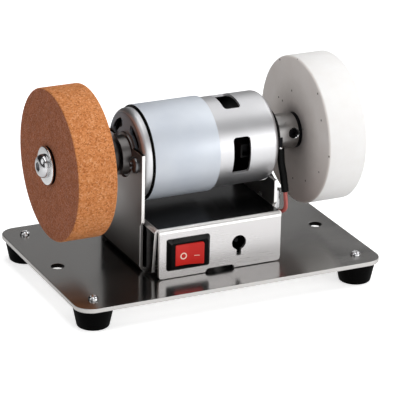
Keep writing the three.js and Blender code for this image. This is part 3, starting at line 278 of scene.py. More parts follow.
# pressed wool felt: matt white with a short nap, a sheen at grazing angles and a few dark fibre specks
def pressedFelt(name):
    look = feltLook
    material, tree, place = newMaterial(name, "#FCFBFA", Roughness=0.95, Sheen_Weight=0.25, Sheen_Roughness=0.5,
                                        Specular_IOR_Level=0.1)
    nap = addNode(tree, "TexNoise", {"Scale": 1 / (1.2 * mm), "Detail": 6.0, "Roughness": 0.7, "Distortion": 0.8},
                  {"Vector": place})
    cloud = addNode(tree, "TexNoise", {"Scale": 1 / (9 * mm), "Detail": 4.0, "Roughness": 0.6}, {"Vector": place})
    tint = addNode(tree, "ValToRGB", links={"Fac": cloud}, steps=[(0.3, "#F9F7F5"), (0.7, "#FEFDFC")])
    # painted shade: the side that faces the motor is greyer, most of all in a painted shadow ring round the hub,
    # and darker towards the bottom
    split = addNode(tree, "SeparateXYZ", links={"Vector": place})
    lifted = addNode(tree, "Math", {1: shaft["height"] * mm}, {0: split.outputs["Z"]}, operation="SUBTRACT")
    flat = addNode(tree, "CombineXYZ", links={"X": split.outputs["Y"], "Y": lifted})
    radius = addNode(tree, "VectorMath", links={0: flat}, operation="LENGTH")
    uneven = addNode(tree, "Math", {1: look["uneven"] * mm}, {0: cloud, 2: radius.outputs["Value"]},
                     operation="MULTIPLY_ADD")
    ring = addNode(tree, "MapRange", {"From Min": look["ringFrom"] * mm, "From Max": look["ringTo"] * mm},
                   {"Value": uneven})
    paintedHubShadow = addNode(tree, "ValToRGB", links={"Fac": ring},
                     steps=[(0.0, "#958C89"), (0.2, "#ABA29F"), (0.4, "#D8D0CC"), (0.75, "#EFE9E5"),
                            (1.0, "#F8F3F0")])
    lowShadeRamp = addNode(tree, "MapRange", {"From Min": look["lowShadeFrom"] * mm, "From Max": look["dustTo"] * mm},
                   {"Value": lifted})
    paintedLowShade = addNode(tree, "ValToRGB", links={"Fac": lowShadeRamp}, steps=[(0.0, "#D2CAC7"), (1.0, "#FFFFFF")])
    paintedFeltShade = addNode(tree, "Mix", {0: 1.0}, {6: paintedHubShadow, 7: paintedLowShade}, data_type="RGBA", blend_type="MULTIPLY")
    away = addNode(tree, "MapRange",
                   {"From Min": look["innerFace"] * mm, "From Max": (look["innerFace"] + look["innerFade"]) * mm},
                   {"Value": split.outputs["X"]})
    sided = addNode(tree, "Mix", {7: (1, 1, 1, 1)}, {0: away, 6: paintedFeltShade}, data_type="RGBA")
    tintAndPaintedShade = addNode(tree, "Mix", {0: 1.0}, {6: tint, 7: sided}, data_type="RGBA", blend_type="MULTIPLY")
    cells = addNode(tree, "TexVoronoi", {"Scale": 1 / (look["speckCell"] * mm), "Randomness": 1.0},
                    {"Vector": flat}, voronoi_dimensions="2D")
    speck = addNode(tree, "ValToRGB", links={"Fac": cells.outputs["Distance"]},
                    steps=[(0.0, "#6C645F"), (0.09, "#7A726D"), (0.14, "#FFFFFF"), (1.0, "#FFFFFF")])
    rare = addNode(tree, "SeparateColor", links={"Color": cells.outputs["Color"]})
    rarer = addNode(tree, "Math", {1: 1.0, 2: 1 - look["speckShare"]}, {0: away}, operation="MULTIPLY_ADD")
    some = addNode(tree, "Math", links={0: rare, 1: rarer}, operation="GREATER_THAN")
    addNode(tree, "Mix", links={0: some, 6: tintAndPaintedShade, 7: speck}, data_type="RGBA", blend_type="MULTIPLY",
            into="Base Color")
    addNode(tree, "Bump", {"Strength": 0.25, "Distance": 0.12 * mm}, {"Height": nap}, into="Normal")
    return material


# moulded plastic and rubber: fine spark-eroded texture, soft highlight
def moulded(name, color, roughness, grainMm=0.5, depth=0.12, **sockets):
    material, tree, place = newMaterial(name, color, Roughness=roughness, **sockets)
    grain = addNode(tree, "TexNoise", {"Scale": 1 / (grainMm * mm), "Detail": 3.0}, {"Vector": place})
    wear = addNode(tree, "TexNoise", {"Scale": 1 / (6 * mm), "Detail": 4.0, "Roughness": 0.65}, {"Vector": place})
    addNode(tree, "MapRange", {"From Min": 0.3, "From Max": 0.7, "To Min": max(roughness - 0.06, 0.02),
                               "To Max": min(roughness + 0.08, 1.0)}, {"Value": wear}, into="Roughness")
    addNode(tree, "Bump", {"Strength": depth, "Distance": 0.05 * mm}, {"Height": grain}, into="Normal")
    return material


# steel ring under a pale blue protective film: a matt skin with a weak gloss and faint lay marks
def filmedSteel(name):
    layMm = (9, 3, 3)
    material, tree, place = newMaterial(name, "#CFD6DF", Metallic=0.15, Roughness=0.45, Coat_Weight=0.2,
                                        Coat_Roughness=0.3)
    cloud = addNode(tree, "TexNoise", {"Scale": 1 / (16 * mm), "Detail": 3.0}, {"Vector": place})
    addNode(tree, "ValToRGB", links={"Fac": cloud}, steps=[(0.32, "#CAD1DB"), (0.68, "#D3D9E1")], into="Base Color")
    laid = addNode(tree, "Mapping", {"Scale": [1 / (size * mm) for size in layMm]}, {"Vector": place})
    ripple = addNode(tree, "TexNoise", {"Scale": 1.0, "Detail": 2.0}, {"Vector": laid})
    addNode(tree, "Bump", {"Strength": 0.08, "Distance": 0.08 * mm}, {"Height": ripple}, into="Normal")
    return material


# enamelled wire is 0.6 mm thick here and electrical sheet 0.8 mm, both coarser than real so that they show
bandLooks = {
    "wire": {"pitchMm": 0.6, "wander": 1.5, "depth": 0.6, "reliefMm": 0.15,
             "tints": [(0.0, "#5A2A12"), (0.6, "#A85A2C"), (1.0, "#C9783F")]},
    "sheet": {"pitchMm": 0.8, "wander": 0.4, "depth": 0.3, "reliefMm": 0.05,
              "tints": [(0.0, "#2A2A2C"), (0.5, "#4E4E50"), (1.0, "#626264")]},
}


# ridges across the shaft, a set distance apart: wire laid in turns, or a stack of thin sheets
def banded(name, color, roughness, metal, look):
    material, tree, place = newMaterial(name, color, Roughness=roughness, Metallic=metal)
    bands = addNode(tree, "TexWave",
                    {"Scale": 1 / (2 * look["pitchMm"] * mm), "Distortion": look["wander"], "Detail": 2.0},
                    {"Vector": place}, wave_type="BANDS", bands_direction="X")
    addNode(tree, "ValToRGB", links={"Fac": bands}, steps=look["tints"], into="Base Color")
    addNode(tree, "Bump", {"Strength": look["depth"], "Distance": look["reliefMm"] * mm}, {"Height": bands},
            into="Normal")
    return material


finishes = {}


def makeFinishes():
    finishes.update({
        "plate": brushedSheet("brushedStainlessPlate", "#A6A4A2", 0.19, 0.03, 0.55),
        "bracket": brushedSheet("brushedStainlessBracket", "#94918F", 0.40, 0.04, 0.5),
        "box": brushedSheet("brushedStainlessBox", "#C6C4C4", 0.26, 0.03, 0.5),
        # painted shade: a dark copy of the box's brushed steel, for its top and its left end
        "deck": brushedSheet("brushedStainlessDeck", "#343436", 0.22, 0.03, 0.5),
        "sheared": platedSteel("shearedStainlessEdge", "#B8B6B4", 0.42),
        # painted highlight: a near-white copy of the steel for the bracket's and box's cut edges and the rims of
        # the can's openings
        "paintedHighlightEdge": platedSteel("stainlessEdgePaintedHighlight", "#E6E4E2", 0.42),
        # painted shade: a near-black copy of the steel for hole walls, the can's insides and groove, and the
        # bracket's shaded faces
        "paintedShadeWall": platedSteel("stainlessWallPaintedShade", "#161514", 0.6),
        "cutEdge": platedSteel("shearedSteelEdge", "#2B2A2A", 0.5),
        "can": platedSteel("zincPlatedCan", "#CACACC", 0.45, 0.8, 0.04),
        "cap": platedSteel("drawnSteelCap", "#8E969E", 0.50, 0.8, 0.05),
        "film": filmedSteel("filmedFluxRing"),
        "screw": platedSteel("zincPlatedScrew", "#C4C4C6", 0.20),
        "darkScrew": platedSteel("oiledSteelScrew", "#686A6C", 0.30),
        "washer": platedSteel("turnedWasher", "#D8D8D8", 0.18),
        "hub": platedSteel("turnedCarbonSteel", "#9A9897", 0.30, 0.5),
        # painted shade: a dark copy of the hub steel for the abrasive wheel's hub and the can's nose
        "shadedHub": platedSteel("carbonSteelPaintedShade", "#62605F", 0.38, 0.9),
        "setScrew": platedSteel("blackenedSetScrew", "#1E1E20", 0.30),
        # a near-black steel: painted shade for the socket's pin in its keyhole and the hubs' shoulders at the
        # wheels; the motor's terminals use it too
        "pin": platedSteel("darkSteelPaintedShade", "#1C1C1E", 0.45),
        "brass": platedSteel("tinnedBrass", "#D9D6CC", 0.3),
        "solder": platedSteel("leadFreeSolder", "#D9D9DA", 0.18),
        "commutator": platedSteel("turnedCopper", "#B8703F", 0.3),
        "copper": banded("enamelledCopperWire", "#A4572A", 0.35, 0.9, bandLooks["wire"]),
        "core": banded("siliconSteelStack", "#4A4A4C", 0.5, 0.85, bandLooks["sheet"]),
        "magnet": moulded("sinteredFerrite", "#232324", 0.7, 0.6, 0.2),
        "carbon": moulded("pressedCarbon", "#1B1B1C", 0.6),
        "orange": bondedGrit("vitrifiedAluminiumOxide", ("#F2EAE2", "#FFFEFC"), 0.55),
        # painted shade: the wheel's flat sides get a darker, bluer wash than its rim
        "orangeSide": bondedGrit("abrasiveSidePaintedShade", ("#CDC4E2", "#DCD2F4"), 0.5),
        "felt": pressedFelt("pressedWoolFelt"),
        "rubber": moulded("nitrileRubber", "#030303", 0.6, 0.7, 0.15, Specular_IOR_Level=0.03),
        "shrink": moulded("polyolefinShrinkSleeve", "#040404", 0.45, 0.9, 0.15, Specular_IOR_Level=0.1),
        "bell": moulded("glassFilledNylon", "#060606", 0.5, Specular_IOR_Level=0.12),
        "bezel": moulded("blackNylonBezel", "#030303", 0.40, depth=0.06, Specular_IOR_Level=0.06),
        "bezelSlope": moulded("polishedNylonSlope", "#0C0B0B", 0.30, depth=0.04, Specular_IOR_Level=0.45),
        "socket": moulded("mattNylonSocket", "#020202", 0.7, Specular_IOR_Level=0.02),
        "rocker": moulded("redPolycarbonate", "#C81C14", 0.38, 0.45, 0.2, Specular_IOR_Level=0.3),
        "mark": moulded("printedWhiteInk", "#F2D9C8", 0.5, depth=0.02),
        "redWire": moulded("redVinyl", "#BC5E58", 0.4),
        "blackWire": moulded("blackVinyl", "#121212", 0.4),
    })


# ---------- shaping helpers ----------

def arc(along, radius, wide, high, first, last, steps):
    # points round a middle, from one angle to another in degrees: 0 points along the axis and 90 away from it
    angles = [math.radians(first + (last - first) * i / steps) for i in range(steps + 1)]
    return [(along + wide * math.cos(a), radius + high * math.sin(a)) for a in angles]


def bevelEdges(form, edges, width, segments, clamp=True):
    bmesh.ops.bevel(form, geom=edges, offset=width * mm, offset_type="OFFSET", segments=segments, profile=0.5,
                    affect="EDGES", clamp_overlap=clamp, material=-1)


def softenEdges(form, width, segments=2, sharper=30.0, where=None):
    form.normal_update()
    limit = math.radians(sharper)
    edges = [e for e in form.edges
             if e.is_manifold and e.calc_face_angle(0) > limit and (where is None or where(e))]
    bevelEdges(form, edges, width, segments)


def turnedForm(profile, steps=96, axis="X", center=(0, 0, 0), closed=True):
    # profile: (along, radius) pairs in millimetres; a closed one ends where it began
    form = bmesh.new()
    along = {"X": Vector((1, 0, 0)), "Y": Vector((0, 1, 0)), "Z": Vector((0, 0, 1))}[axis]
    out = Vector((0, 0, 1)) if axis != "Z" else Vector((1, 0, 0))
    middle = at(*center)
    points = [form.verts.new(middle + (along * a + out * r) * mm) for a, r in profile]
    pairs = list(zip(points, points[1:])) + ([(points[-1], points[0])] if closed else [])
    edges = [form.edges.new(pair) for pair in pairs]
    edges = [e for e in edges if (e.verts[0].co - e.verts[1].co).length > 1e-7
             and any(((v.co - middle).cross(along)).length > 1e-7 for v in e.verts)]
    bmesh.ops.spin(form, geom=points + edges, cent=middle, axis=along, dvec=(0, 0, 0), angle=turn, steps=steps,
                   use_merge=True, use_duplicate=False)
    bmesh.ops.remove_doubles(form, verts=form.verts, dist=1e-6)
    loose = [e for e in form.edges if not e.link_faces]
    bmesh.ops.delete(form, geom=loose, context="EDGES")
    bmesh.ops.recalc_face_normals(form, faces=form.faces)
    return form


def onShaft(rows, face, side, steps, closed=True):
    # a turned form about the shaft: along is counted from a face, and outwards where side is that of the wheel
    return turnedForm([(face + side * along, radius) for along, radius in rows], steps, "X",
                      (0, 0, shaft["height"]), closed)


def finishPiece(name, form, finish, body, node, smoother=34.0, grain=False, evenFaces=False):
    # rides its body, and stands for its node if it has one
    form.normal_update()
    limit = math.radians(smoother)
    for face in form.faces:
        face.smooth = True
    for edge in form.edges:
        edge.smooth = edge.is_manifold and edge.calc_face_angle(0) < limit
    if grain:
        layGrain(form)
    piece = addObject(name, meshOf(form, name))
    for key in ([finish] if isinstance(finish, str) else finish):
        piece.data.materials.append(finishes[key])
    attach(piece, body)
    if node:
        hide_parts(node)
    if evenFaces:
        even = piece.modifiers.new("evenFaces", "WEIGHTED_NORMAL")
        even.keep_sharp = True
        even.weight = 100
    return piece


def layGrain(form):
    # the sheet's scratches run along X, or along Y on its side faces; the map's U runs across them
    layer = form.loops.layers.uv.new("acrossGrain")
    for face in form.faces:
        nx, ny, nz = (abs(c) for c in face.normal)
        for loop in face.loops:
            x, y, z = loop.vert.co / (100 * mm)
            if nz >= nx and nz >= ny:
                loop[layer].uv = (y, x)
            elif ny >= nx:
                loop[layer].uv = (z, x)
            else:
                loop[layer].uv = (z, y)


otherNames = {"set_screw_orange": "abrasiveSetScrew", "set_screw_white": "feltSetScrew",
              "commutator": "commutatorBars"}


def camel(node):
    # a piece is named after its node, but for a few whose use says more
    first, *others = node.split("_")
    return otherNames.get(node, first + "".join(word.capitalize() for word in others))


def dressedSolid(node, finish, body, softer, segments, smoother=34.0, grain=False, sort=None):
    # a merged copy of the solid, with its flat faces joined and its edges broken as a deburred sheet's are
    form = bmesh.new()
    form.from_mesh(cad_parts[node].data)
    bmesh.ops.remove_doubles(form, verts=form.verts, dist=2e-6)
    bmesh.ops.dissolve_limit(form, angle_limit=math.radians(0.6), verts=form.verts, edges=form.edges)
    if softer:
        softenEdges(form, softer, segments)
    if sort:
        form.normal_update()
        for face in form.faces:
            face.material_index = sort(face)
    return finishPiece(camel(node), form, finish, body, node, smoother, grain, True)


def dressPlain(body, rows):
    # rows: finish, edge in mm, steps of the edge, slot, smooth below so many degrees, and the nodes
    for finish, softer, segments, slot, smoother, *nodes in rows:
        for node in nodes:
            dressedSolid(node, finish, body, softer, segments, smoother)


def isCutEdge(face, sheet):
    # a face no wider than the sheet is thick is where the sheet was sheared or punched
    longest = max(edge.calc_length() for edge in face.edges)
    return face.calc_area() / longest < sheet * 1.1 * mm


def crossRecess(form, crown, out, cross):
    # presses a cross into a screw's crown: points near either bar go down, and less so towards the bar's ends
    for vert in form.verts:
        off = (vert.co - crown) / mm
        near, far = sorted(abs(off[i]) for i in range(3) if not out[i])
        if -off.dot(out) < cross["zone"] and near < cross["width"] and far < cross["reach"]:
            vert.co -= out * cross["depth"] * (1 - cross["rise"] * far / cross["reach"]) * mm


# ---------- base ----------

corners = ("fl", "fr", "bl", "br")
plateShape = {"edge": 0.25, "middle": -1.1, "rimX": 72, "rimY": 45}


def plateSurface(face):
    # the broad faces, the sheared rim, and the walls of the punched holes, which get painted shade
    p = plateShape
    x, y = face.calc_center_median().xy / mm
    if abs(face.normal.z) > 0.8:
        return 0
    return 1 if abs(y) > p["rimY"] or abs(x - p["middle"]) > p["rimX"] else 2


def makeBase():
    dressedSolid("base_plate", ["plate", "sheared", "paintedShadeWall"], "stand", plateShape["edge"], 2,
                 50, True, plateSurface)
    for corner in corners:
        low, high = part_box("foot_" + corner)
        x, y = (low[0] + high[0]) / 2 / mm, (low[1] + high[1]) / 2 / mm
        makeFoot(corner, x, y)
        makeFootScrew(corner, x, y)
    print("base plate, feet and screws done")


footShape = {"height": 10.0, "top": 9.0, "bottom": 7.2, "flange": 1.4, "recess": 2.6, "recessDepth": 1.6,
             "recessSlope": 0.6, "lip": 0.7, "edge": 0.3, "lipsOut": 5.0, "lipsBelow": 8.0}


def makeFoot(corner, x, y):
    f = footShape
    profile = [(f["recessDepth"], 0), (f["recessDepth"], f["recess"]), (0, f["recess"] + f["recessSlope"]),
               (0, f["bottom"]), (f["height"] - f["flange"], f["top"]), (f["height"], f["top"]), (f["height"], 0)]
    form = turnedForm(profile, 64, "Z", (x, y, 0))
    softenEdges(form, f["lip"], 3, 40, lambda e: e.verts[0].co.z < f["lipsBelow"] * mm
                and (e.verts[0].co.xy - Vector((x, y)) * mm).length > f["lipsOut"] * mm)
    softenEdges(form, f["edge"], 2, 40, lambda e: e.verts[0].co.z > f["lipsBelow"] * mm)
    finishPiece("foot" + corner.capitalize(), form, "rubber", "stand", "foot_" + corner)


footScrewShape = {"head": 2.3, "rim": 0.35, "dome": 1.44, "crown": 0.12, "shank": 1.25, "length": 8.0}
footScrewCross = {"width": 0.45, "depth": 0.5, "reach": 1.265, "rise": 0.6, "zone": 1.6}


def makeFootScrew(corner, x, y):
    s = footScrewShape
    top, flat = shaft["plateTop"], s["crown"] * s["head"]
    profile = [(-s["length"], 0), (-s["length"], s["shank"]), (0, s["shank"]), (0, s["head"])]
    profile += arc(s["rim"], flat, s["dome"], s["head"] - flat, 90, 0, 8) + [(s["rim"] + s["dome"], 0)]
    form = turnedForm(profile, 48, "Z", (x, y, top))
    crossRecess(form, at(x, y, top + s["rim"] + s["dome"]), Vector((0, 0, 1)), footScrewCross)
    finishPiece("footScrew" + corner.capitalize(), form, "screw", "stand", "foot_screw_" + corner, 40)


# ---------- bracket and switch box ----------

bracketShape = {"sheet": 1.5, "edge": 0.28, "shadeTop": 2.3, "topEdge": 60.0}
boxShape = {"sheet": 1.4, "edge": 0.22, "panel": 31.0, "panelFoot": 0.3, "lift": 0.35}


def bracketSurface(face):
    # the outside of the lower bend lies in its own contact shadow, and the top edge under the wheel's
    height = face.calc_center_median().z / mm
    if height < shaft["plateTop"] + bracketShape["shadeTop"] and face.normal.x < -0.2:
        return 2
    if height > bracketShape["topEdge"] and face.normal.z > 0.5:
        return 2
    return int(isCutEdge(face, bracketShape["sheet"]))


def boxSurface(face):
    # the top and the left end get a dark copy of the box's steel, as painted shade
    if isCutEdge(face, boxShape["sheet"]):
        return 1
    return 2 if face.normal.z > 0.8 or face.normal.x < -0.3 else 0


# solids that only need their edges broken
plainSheetMetal = [
    ("screw", 0.12, 2, "screw_steel", 34, *("bracket_screw_" + corner for corner in corners), "box_screw_front",
     "box_screw_rear"),
    ("rubber", 0.25, 2, "grommet_rubber", 50, "lead_grommet"),
    ("screw", 0.18, 2, "clip_metal", 50, "lead_clip"),
    ("screw", 0.12, 2, "screw_steel", 50, "clip_screw"),
    ("socket", 0.2, 2, "socket_plastic", 50, "power_socket"),
    ("pin", 0.12, 2, "terminal_brass", 50, "socket_pin"),
]


def makeSheetMetal():
    b = boxShape
    dressedSolid("motor_bracket", ["bracket", "paintedHighlightEdge", "paintedShadeWall"], "stand", bracketShape["edge"], 2,
                 grain=True, sort=bracketSurface)
    box = dressedSolid("switch_box", ["box", "paintedHighlightEdge", "deck"], "stand", b["edge"], 2, grain=True,
                       sort=boxSurface)
    # the two panels stop short of the plate; only the inward lips stand on it
    for vert in box.data.vertices:
        if vert.co.z < (shaft["plateTop"] + b["panelFoot"]) * mm and abs(vert.co.y) > b["panel"] * mm:
            vert.co.z += b["lift"] * mm
    dressPlain("stand", plainSheetMetal)
    print("bracket and switch box done")


# ---------- motor ----------

canShape = {"radius": 20.75, "wall": 1.2, "length": 67.2, "frontRound": 2.8, "rearRound": 3.2, "rearMouth": 15.2,
            "rearLip": 0.8, "lipTurn": 0.3, "grooveStart": 4.0, "grooveEnd": 5.2, "grooveSlope": 0.1,
            "grooveDepth": 0.35, "columns": 144, "windowStart": 43.9, "windowLength": 8.4, "windowHalf": 10,
            "windowTurn": -2.5, "corner": 1.6, "cornerColumns": 2, "ventInner": 12.4, "ventOuter": 16.6,
            "ventFrom": 17.5, "ventTo": 62.5, "ventCorner": 1.5, "nosePart": -0.15, "capPart": 0.25, "rimEdge": 0.3}
# the bearing's boss and the raised ring round it, as (along, radius) pairs
noseProfile = [(-5, 4.0), (-5, 8.3), (-4.87, 8.62), (-4.55, 8.75), (-1.15, 8.75), (-0.9, 8.9), (-0.8, 9.2),
               (-0.8, 9.9), (-0.7, 10.15), (-0.45, 10.25), (-0.12, 10.35), (0, 10.6)]


def canProfile():
    c = canShape
    wall, front, rear = c["radius"], c["frontRound"], c["rearRound"]
    low = wall - c["grooveDepth"]
    windowEnd = c["windowStart"] + c["windowLength"]
    face = [c["ventInner"], c["ventInner"] + c["ventCorner"], c["ventOuter"] - c["ventCorner"], c["ventOuter"]]
    side = [c["grooveEnd"] + c["grooveSlope"], c["windowStart"], c["windowStart"] + c["corner"],
            windowEnd - c["corner"], windowEnd]
    return (noseProfile + [(0, radius) for radius in face] + arc(front, wall - front, front, front, 180, 90, 8)
            + [(c["grooveStart"], wall), (c["grooveStart"] + c["grooveSlope"], low), (c["grooveEnd"], low)]
            + [(along, wall) for along in side] + arc(c["length"] - rear, wall - rear, rear, rear, 90, 0, 8)
            + [(c["length"], c["rearMouth"]), (c["length"] - c["rearLip"], c["rearMouth"] - c["lipTurn"])])


def canSurface(face):
    # the groove gets painted shade, then come the nose in a shaded copy of the hub steel (painted shade), the drawn
    # front and the wall
    c = canShape
    a = polar(face.calc_center_median())[0]
    if c["grooveStart"] < a < c["grooveEnd"] + c["grooveSlope"]:
        return 3
    return 2 if a < c["nosePart"] else int(a < c["capPart"])


def makeCan():
    c = canShape
    x0, z0 = shaft["motorFace"], shaft["height"]
    form = onShaft(canProfile(), x0, 1, c["columns"], False)
    half, span = c["windowHalf"] * 360 / c["columns"], c["ventTo"] - c["ventFrom"]
    for middle in (c["windowTurn"] + 90 * k for k in range(4)):
        cutOpening(form, True, c["windowStart"], c["windowStart"] + c["windowLength"], middle - half, middle + half,
                   c["corner"])
    for low in (c["ventFrom"], 180 - c["ventTo"], 180 + c["ventFrom"], 360 - c["ventTo"]):
        cutOpening(form, False, c["ventInner"], c["ventOuter"], low, low + span, c["ventCorner"])
    bmesh.ops.remove_doubles(form, verts=form.verts, dist=1e-6)
    outward(form, at(x0 + c["length"] / 2, 0, z0))
    for face in form.faces:
        face.material_index = canSurface(face)
    # each outer finish has its inner one three slots on, so the can's insides get painted shade, and the last slot
    # is the rim of the openings, with a painted highlight
    slots = ["can", "cap", "shadedHub"] + ["paintedShadeWall"] * 3 + ["paintedHighlightEdge"]
    piece = finishPiece("motorCan", form, slots, "stand", "motor_can", 40)
    wall = piece.modifiers.new("wall", "SOLIDIFY")
    wall.thickness = c["wall"] * mm
    wall.offset = -1
    wall.material_offset = 3
    wall.use_even_offset = True
    edge = piece.modifiers.new("rimEdge", "BEVEL")
    edge.width = c["rimEdge"] * mm
    edge.segments = 2
    edge.material = len(slots) - 1
    edge.limit_method = "ANGLE"
    edge.angle_limit = math.radians(50)
    edge.harden_normals = True


def polar(co):
    # a point of the motor as (along, radius, angle from the top over the back), in mm and degrees
    y, z = co.y / mm, co.z / mm - shaft["height"]
    return co.x / mm - shaft["motorFace"], math.hypot(y, z), math.degrees(math.atan2(y, z)) % 360


def cutOpening(form, onWall, near, far, low, high, corner):
    # takes out the cells of a window in the wall or of a vent in the front, and rounds its corners with fillets;
    # near and far are along the wall or away from the axis, low and high are angles
    c = canShape
    inside = []
    for face in form.faces:
        a, r, angle = polar(face.calc_center_median())
        off = (angle - (low + high) / 2 + 180) % 360 - 180
        here = r > c["radius"] - 0.5 if onWall else abs(a) < 0.05
        if abs(off) <= (high - low) / 2 and here and near < (a if onWall else r) < far:
            inside.append(face)
    bmesh.ops.delete(form, geom=inside, context="FACES")
    sweep = c["cornerColumns"] * 360 / c["columns"]
    for edgeAt, step in ((near, corner), (far, -corner)):
        roundCorner(form, onWall, edgeAt, step, low, sweep)
        roundCorner(form, onWall, edgeAt, step, high, -sweep)


def roundCorner(form, onWall, edgeAt, step, angleAt, sweep):
    columns = canShape["cornerColumns"]
    ring = [(edgeAt, angleAt + sweep * i / columns) for i in range(columns)]
    ring += arc(edgeAt + step, angleAt + sweep, -step, -sweep, 0, 90, 6)
    points = []
    for along, angle in ring:
        t = math.radians(angle)
        a, r = (along, canShape["radius"]) if onWall else (0, along)
        points.append(at(shaft["motorFace"] + a, r * math.sin(t), shaft["height"] + r * math.cos(t)))
    form.faces.new([form.verts.new(point) for point in points])


def outward(form, middle):
    bmesh.ops.recalc_face_normals(form, faces=form.faces)
    form.normal_update()
    side = sum((f.calc_center_median() - middle).dot(f.normal) * f.calc_area() for f in form.faces)
    if side < 0:
        bmesh.ops.reverse_faces(form, faces=form.faces)


sleeveShape = {"start": 5.0, "length": 31.8, "inner": 20.9, "outer": 21.75, "seam": 0.9, "edge": 0.16}


def makeSleeve():
    s = sleeveShape
    x0, z0 = shaft["motorFace"] + s["start"], shaft["height"]
    form = bmesh.new()
    profile = [(0, s["inner"]), (0, s["outer"]), (s["length"], s["outer"]), (s["length"], s["inner"])]
    points = [form.verts.new(at(x0 + a, 0, z0 - r)) for a, r in profile]
    edges = [form.edges.new((points[i], points[(i + 1) % 4])) for i in range(4)]
    first = s["seam"] / 2 / s["outer"]
    bmesh.ops.rotate(form, verts=points, cent=at(x0, 0, z0), matrix=Matrix.Rotation(first, 3, "X"))
    bmesh.ops.spin(form, geom=points + edges, cent=at(x0, 0, z0), axis=(1, 0, 0), dvec=(0, 0, 0),
                   angle=turn - 2 * first, steps=143, use_merge=False, use_duplicate=False)
    bmesh.ops.holes_fill(form, edges=[e for e in form.edges if e.is_boundary], sides=4)
    bmesh.ops.recalc_face_normals(form, faces=form.faces)
    softenEdges(form, s["edge"], 2, 40)
    for face in form.faces:
        face.material_index = int(polar(face.calc_center_median())[1] <= s["outer"] - 0.1)
    finishPiece("fluxRing", form, ["film", "cutEdge"], "stand", "flux_sleeve", 40)


bellShape = {"plugStart": 61.4, "plugEnd": 66.3, "plugRadius": 19.3, "discEnd": 71.4, "discRadius": 12.6,
             "mouth": 4.0, "seatStart": 70.2, "seatRadius": 6.6, "edge": 0.5}


def makeEndBell():
    # the moulded end closes the can from inside; only its disc stands out of the rolled rim
    b = bellShape
    rows = [(b["plugStart"], b["seatRadius"]), (b["plugStart"], b["plugRadius"]), (b["plugEnd"], b["plugRadius"]),
            (b["plugEnd"], b["discRadius"]), (b["discEnd"], b["discRadius"]), (b["discEnd"], b["mouth"]),
            (b["seatStart"], b["mouth"]), (b["seatStart"], b["seatRadius"])]
    form = onShaft(rows, shaft["motorFace"], 1, 96)
    softenEdges(form, b["edge"], 3, 40)
    finishPiece("motorEndBell", form, "bell", "stand", "motor_end_bell", 30)


plainMotor = [
    ("bell", 0.15, 2, "card_plastic", 34, "brush_card"),
    ("magnet", 0.25, 2, "magnet_ferrite", 34, "magnet_upper", "magnet_lower"),
]


def makeMotor():
    makeCan()
    makeSleeve()
    makeEndBell()
    for end, side in (("front", -1), ("rear", 1)):
        dressPlain("stand", [("screw", 0.2, 2, "bearing_steel", 34, "bearing_" + end),
                             ("pin", 0.12, 2, "terminal_brass", 34, "terminal_" + end),
                             ("carbon", 0.15, 2, "brush_carbon", 34, "brush_" + end)])
        makeMotorScrew(end, side)
    dressPlain("stand", plainMotor)
    print("motor done")


motorScrewShape = {"head": 3.7, "crown": 0.3, "rim": 0.6, "dome": 1.8, "shank": 2.0, "offset": 14.5, "sheet": 1.5,
                   "reach": 2.2}
motorScrewCross = {"width": 0.55, "depth": 0.8, "reach": 2.2, "rise": 0.6, "zone": 1.2}


def makeMotorScrew(end, side):
    s = motorScrewShape
    y, flat = side * s["offset"], s["crown"] * s["head"]
    seat, crown = -s["sheet"], -s["sheet"] - s["rim"] - s["dome"]
    profile = [(s["reach"], 0), (s["reach"], s["shank"]), (seat, s["shank"]), (seat, s["head"])]
    profile += arc(seat - s["rim"], flat, s["dome"], s["head"] - flat, 90, 180, 8) + [(crown, 0)]
    form = turnedForm(profile, 48, "X", (shaft["motorFace"], y, shaft["height"]))
    crossRecess(form, at(shaft["motorFace"] + crown, y, shaft["height"]), Vector((-1, 0, 0)), motorScrewCross)
    finishPiece("motorScrew" + end.capitalize(), form, "darkScrew", "stand", "motor_screw_" + end, 40)


# ---------- spindle ----------

wheelShape = {"radius": 34.4, "bore": 5.15}
washerShape = {"radius": 8.7, "bore": 3.15, "thickness": 2.0, "bevel": 0.45, "edge": 0.1, "fibre": 1.1,
               "shadowLayerRadius": 8.6, "bevelsOut": 5.0}
buttonShape = {"head": 5.4, "headEdge": 0.1, "rim": 0.35, "height": 3.3, "shank": 3.0, "length": 14.8, "tip": 0.4,
               "flat": 4.0, "depth": 2.1, "round": 0.25, "sink": 0.12, "point": 0.2}
hubShape = {"radius": 8.3, "length": 12.6, "chamfer": 0.9, "chamfersOut": 6.0, "bore": 2.55, "spigot": 5.0,
            "spigotShare": 0.85, "setScrew": 2.15, "mouth": 2.9, "mouthDepth": 0.8, "setInset": 4.0,
            "setLift": 10.0, "drillTip": 3.0, "shoulder": 1.7}
# the two ends of the spindle: side of the motor, wheel's inner and outer face, hub's face, wheel's width and edge
wheelSets = {
    "abrasive": {"color": "orange", "side": -1, "inner": -52.3, "outer": -70.6, "hubFace": -52.15, "width": 18.45,
                 "edge": 0.6, "finish": ["orange", "orangeSide"], "slot": "abrasive_orange", "hub": "shadedHub"},
    "felt": {"color": "white", "side": 1, "inner": 51.25, "outer": 70.8, "hubFace": 51.1, "width": 19.7,
             "edge": 1.1, "finish": ["felt"], "slot": "felt_white", "hub": "hub"},
}


def fromAxis(co):
    return math.hypot(co.y / mm, co.z / mm - shaft["height"])


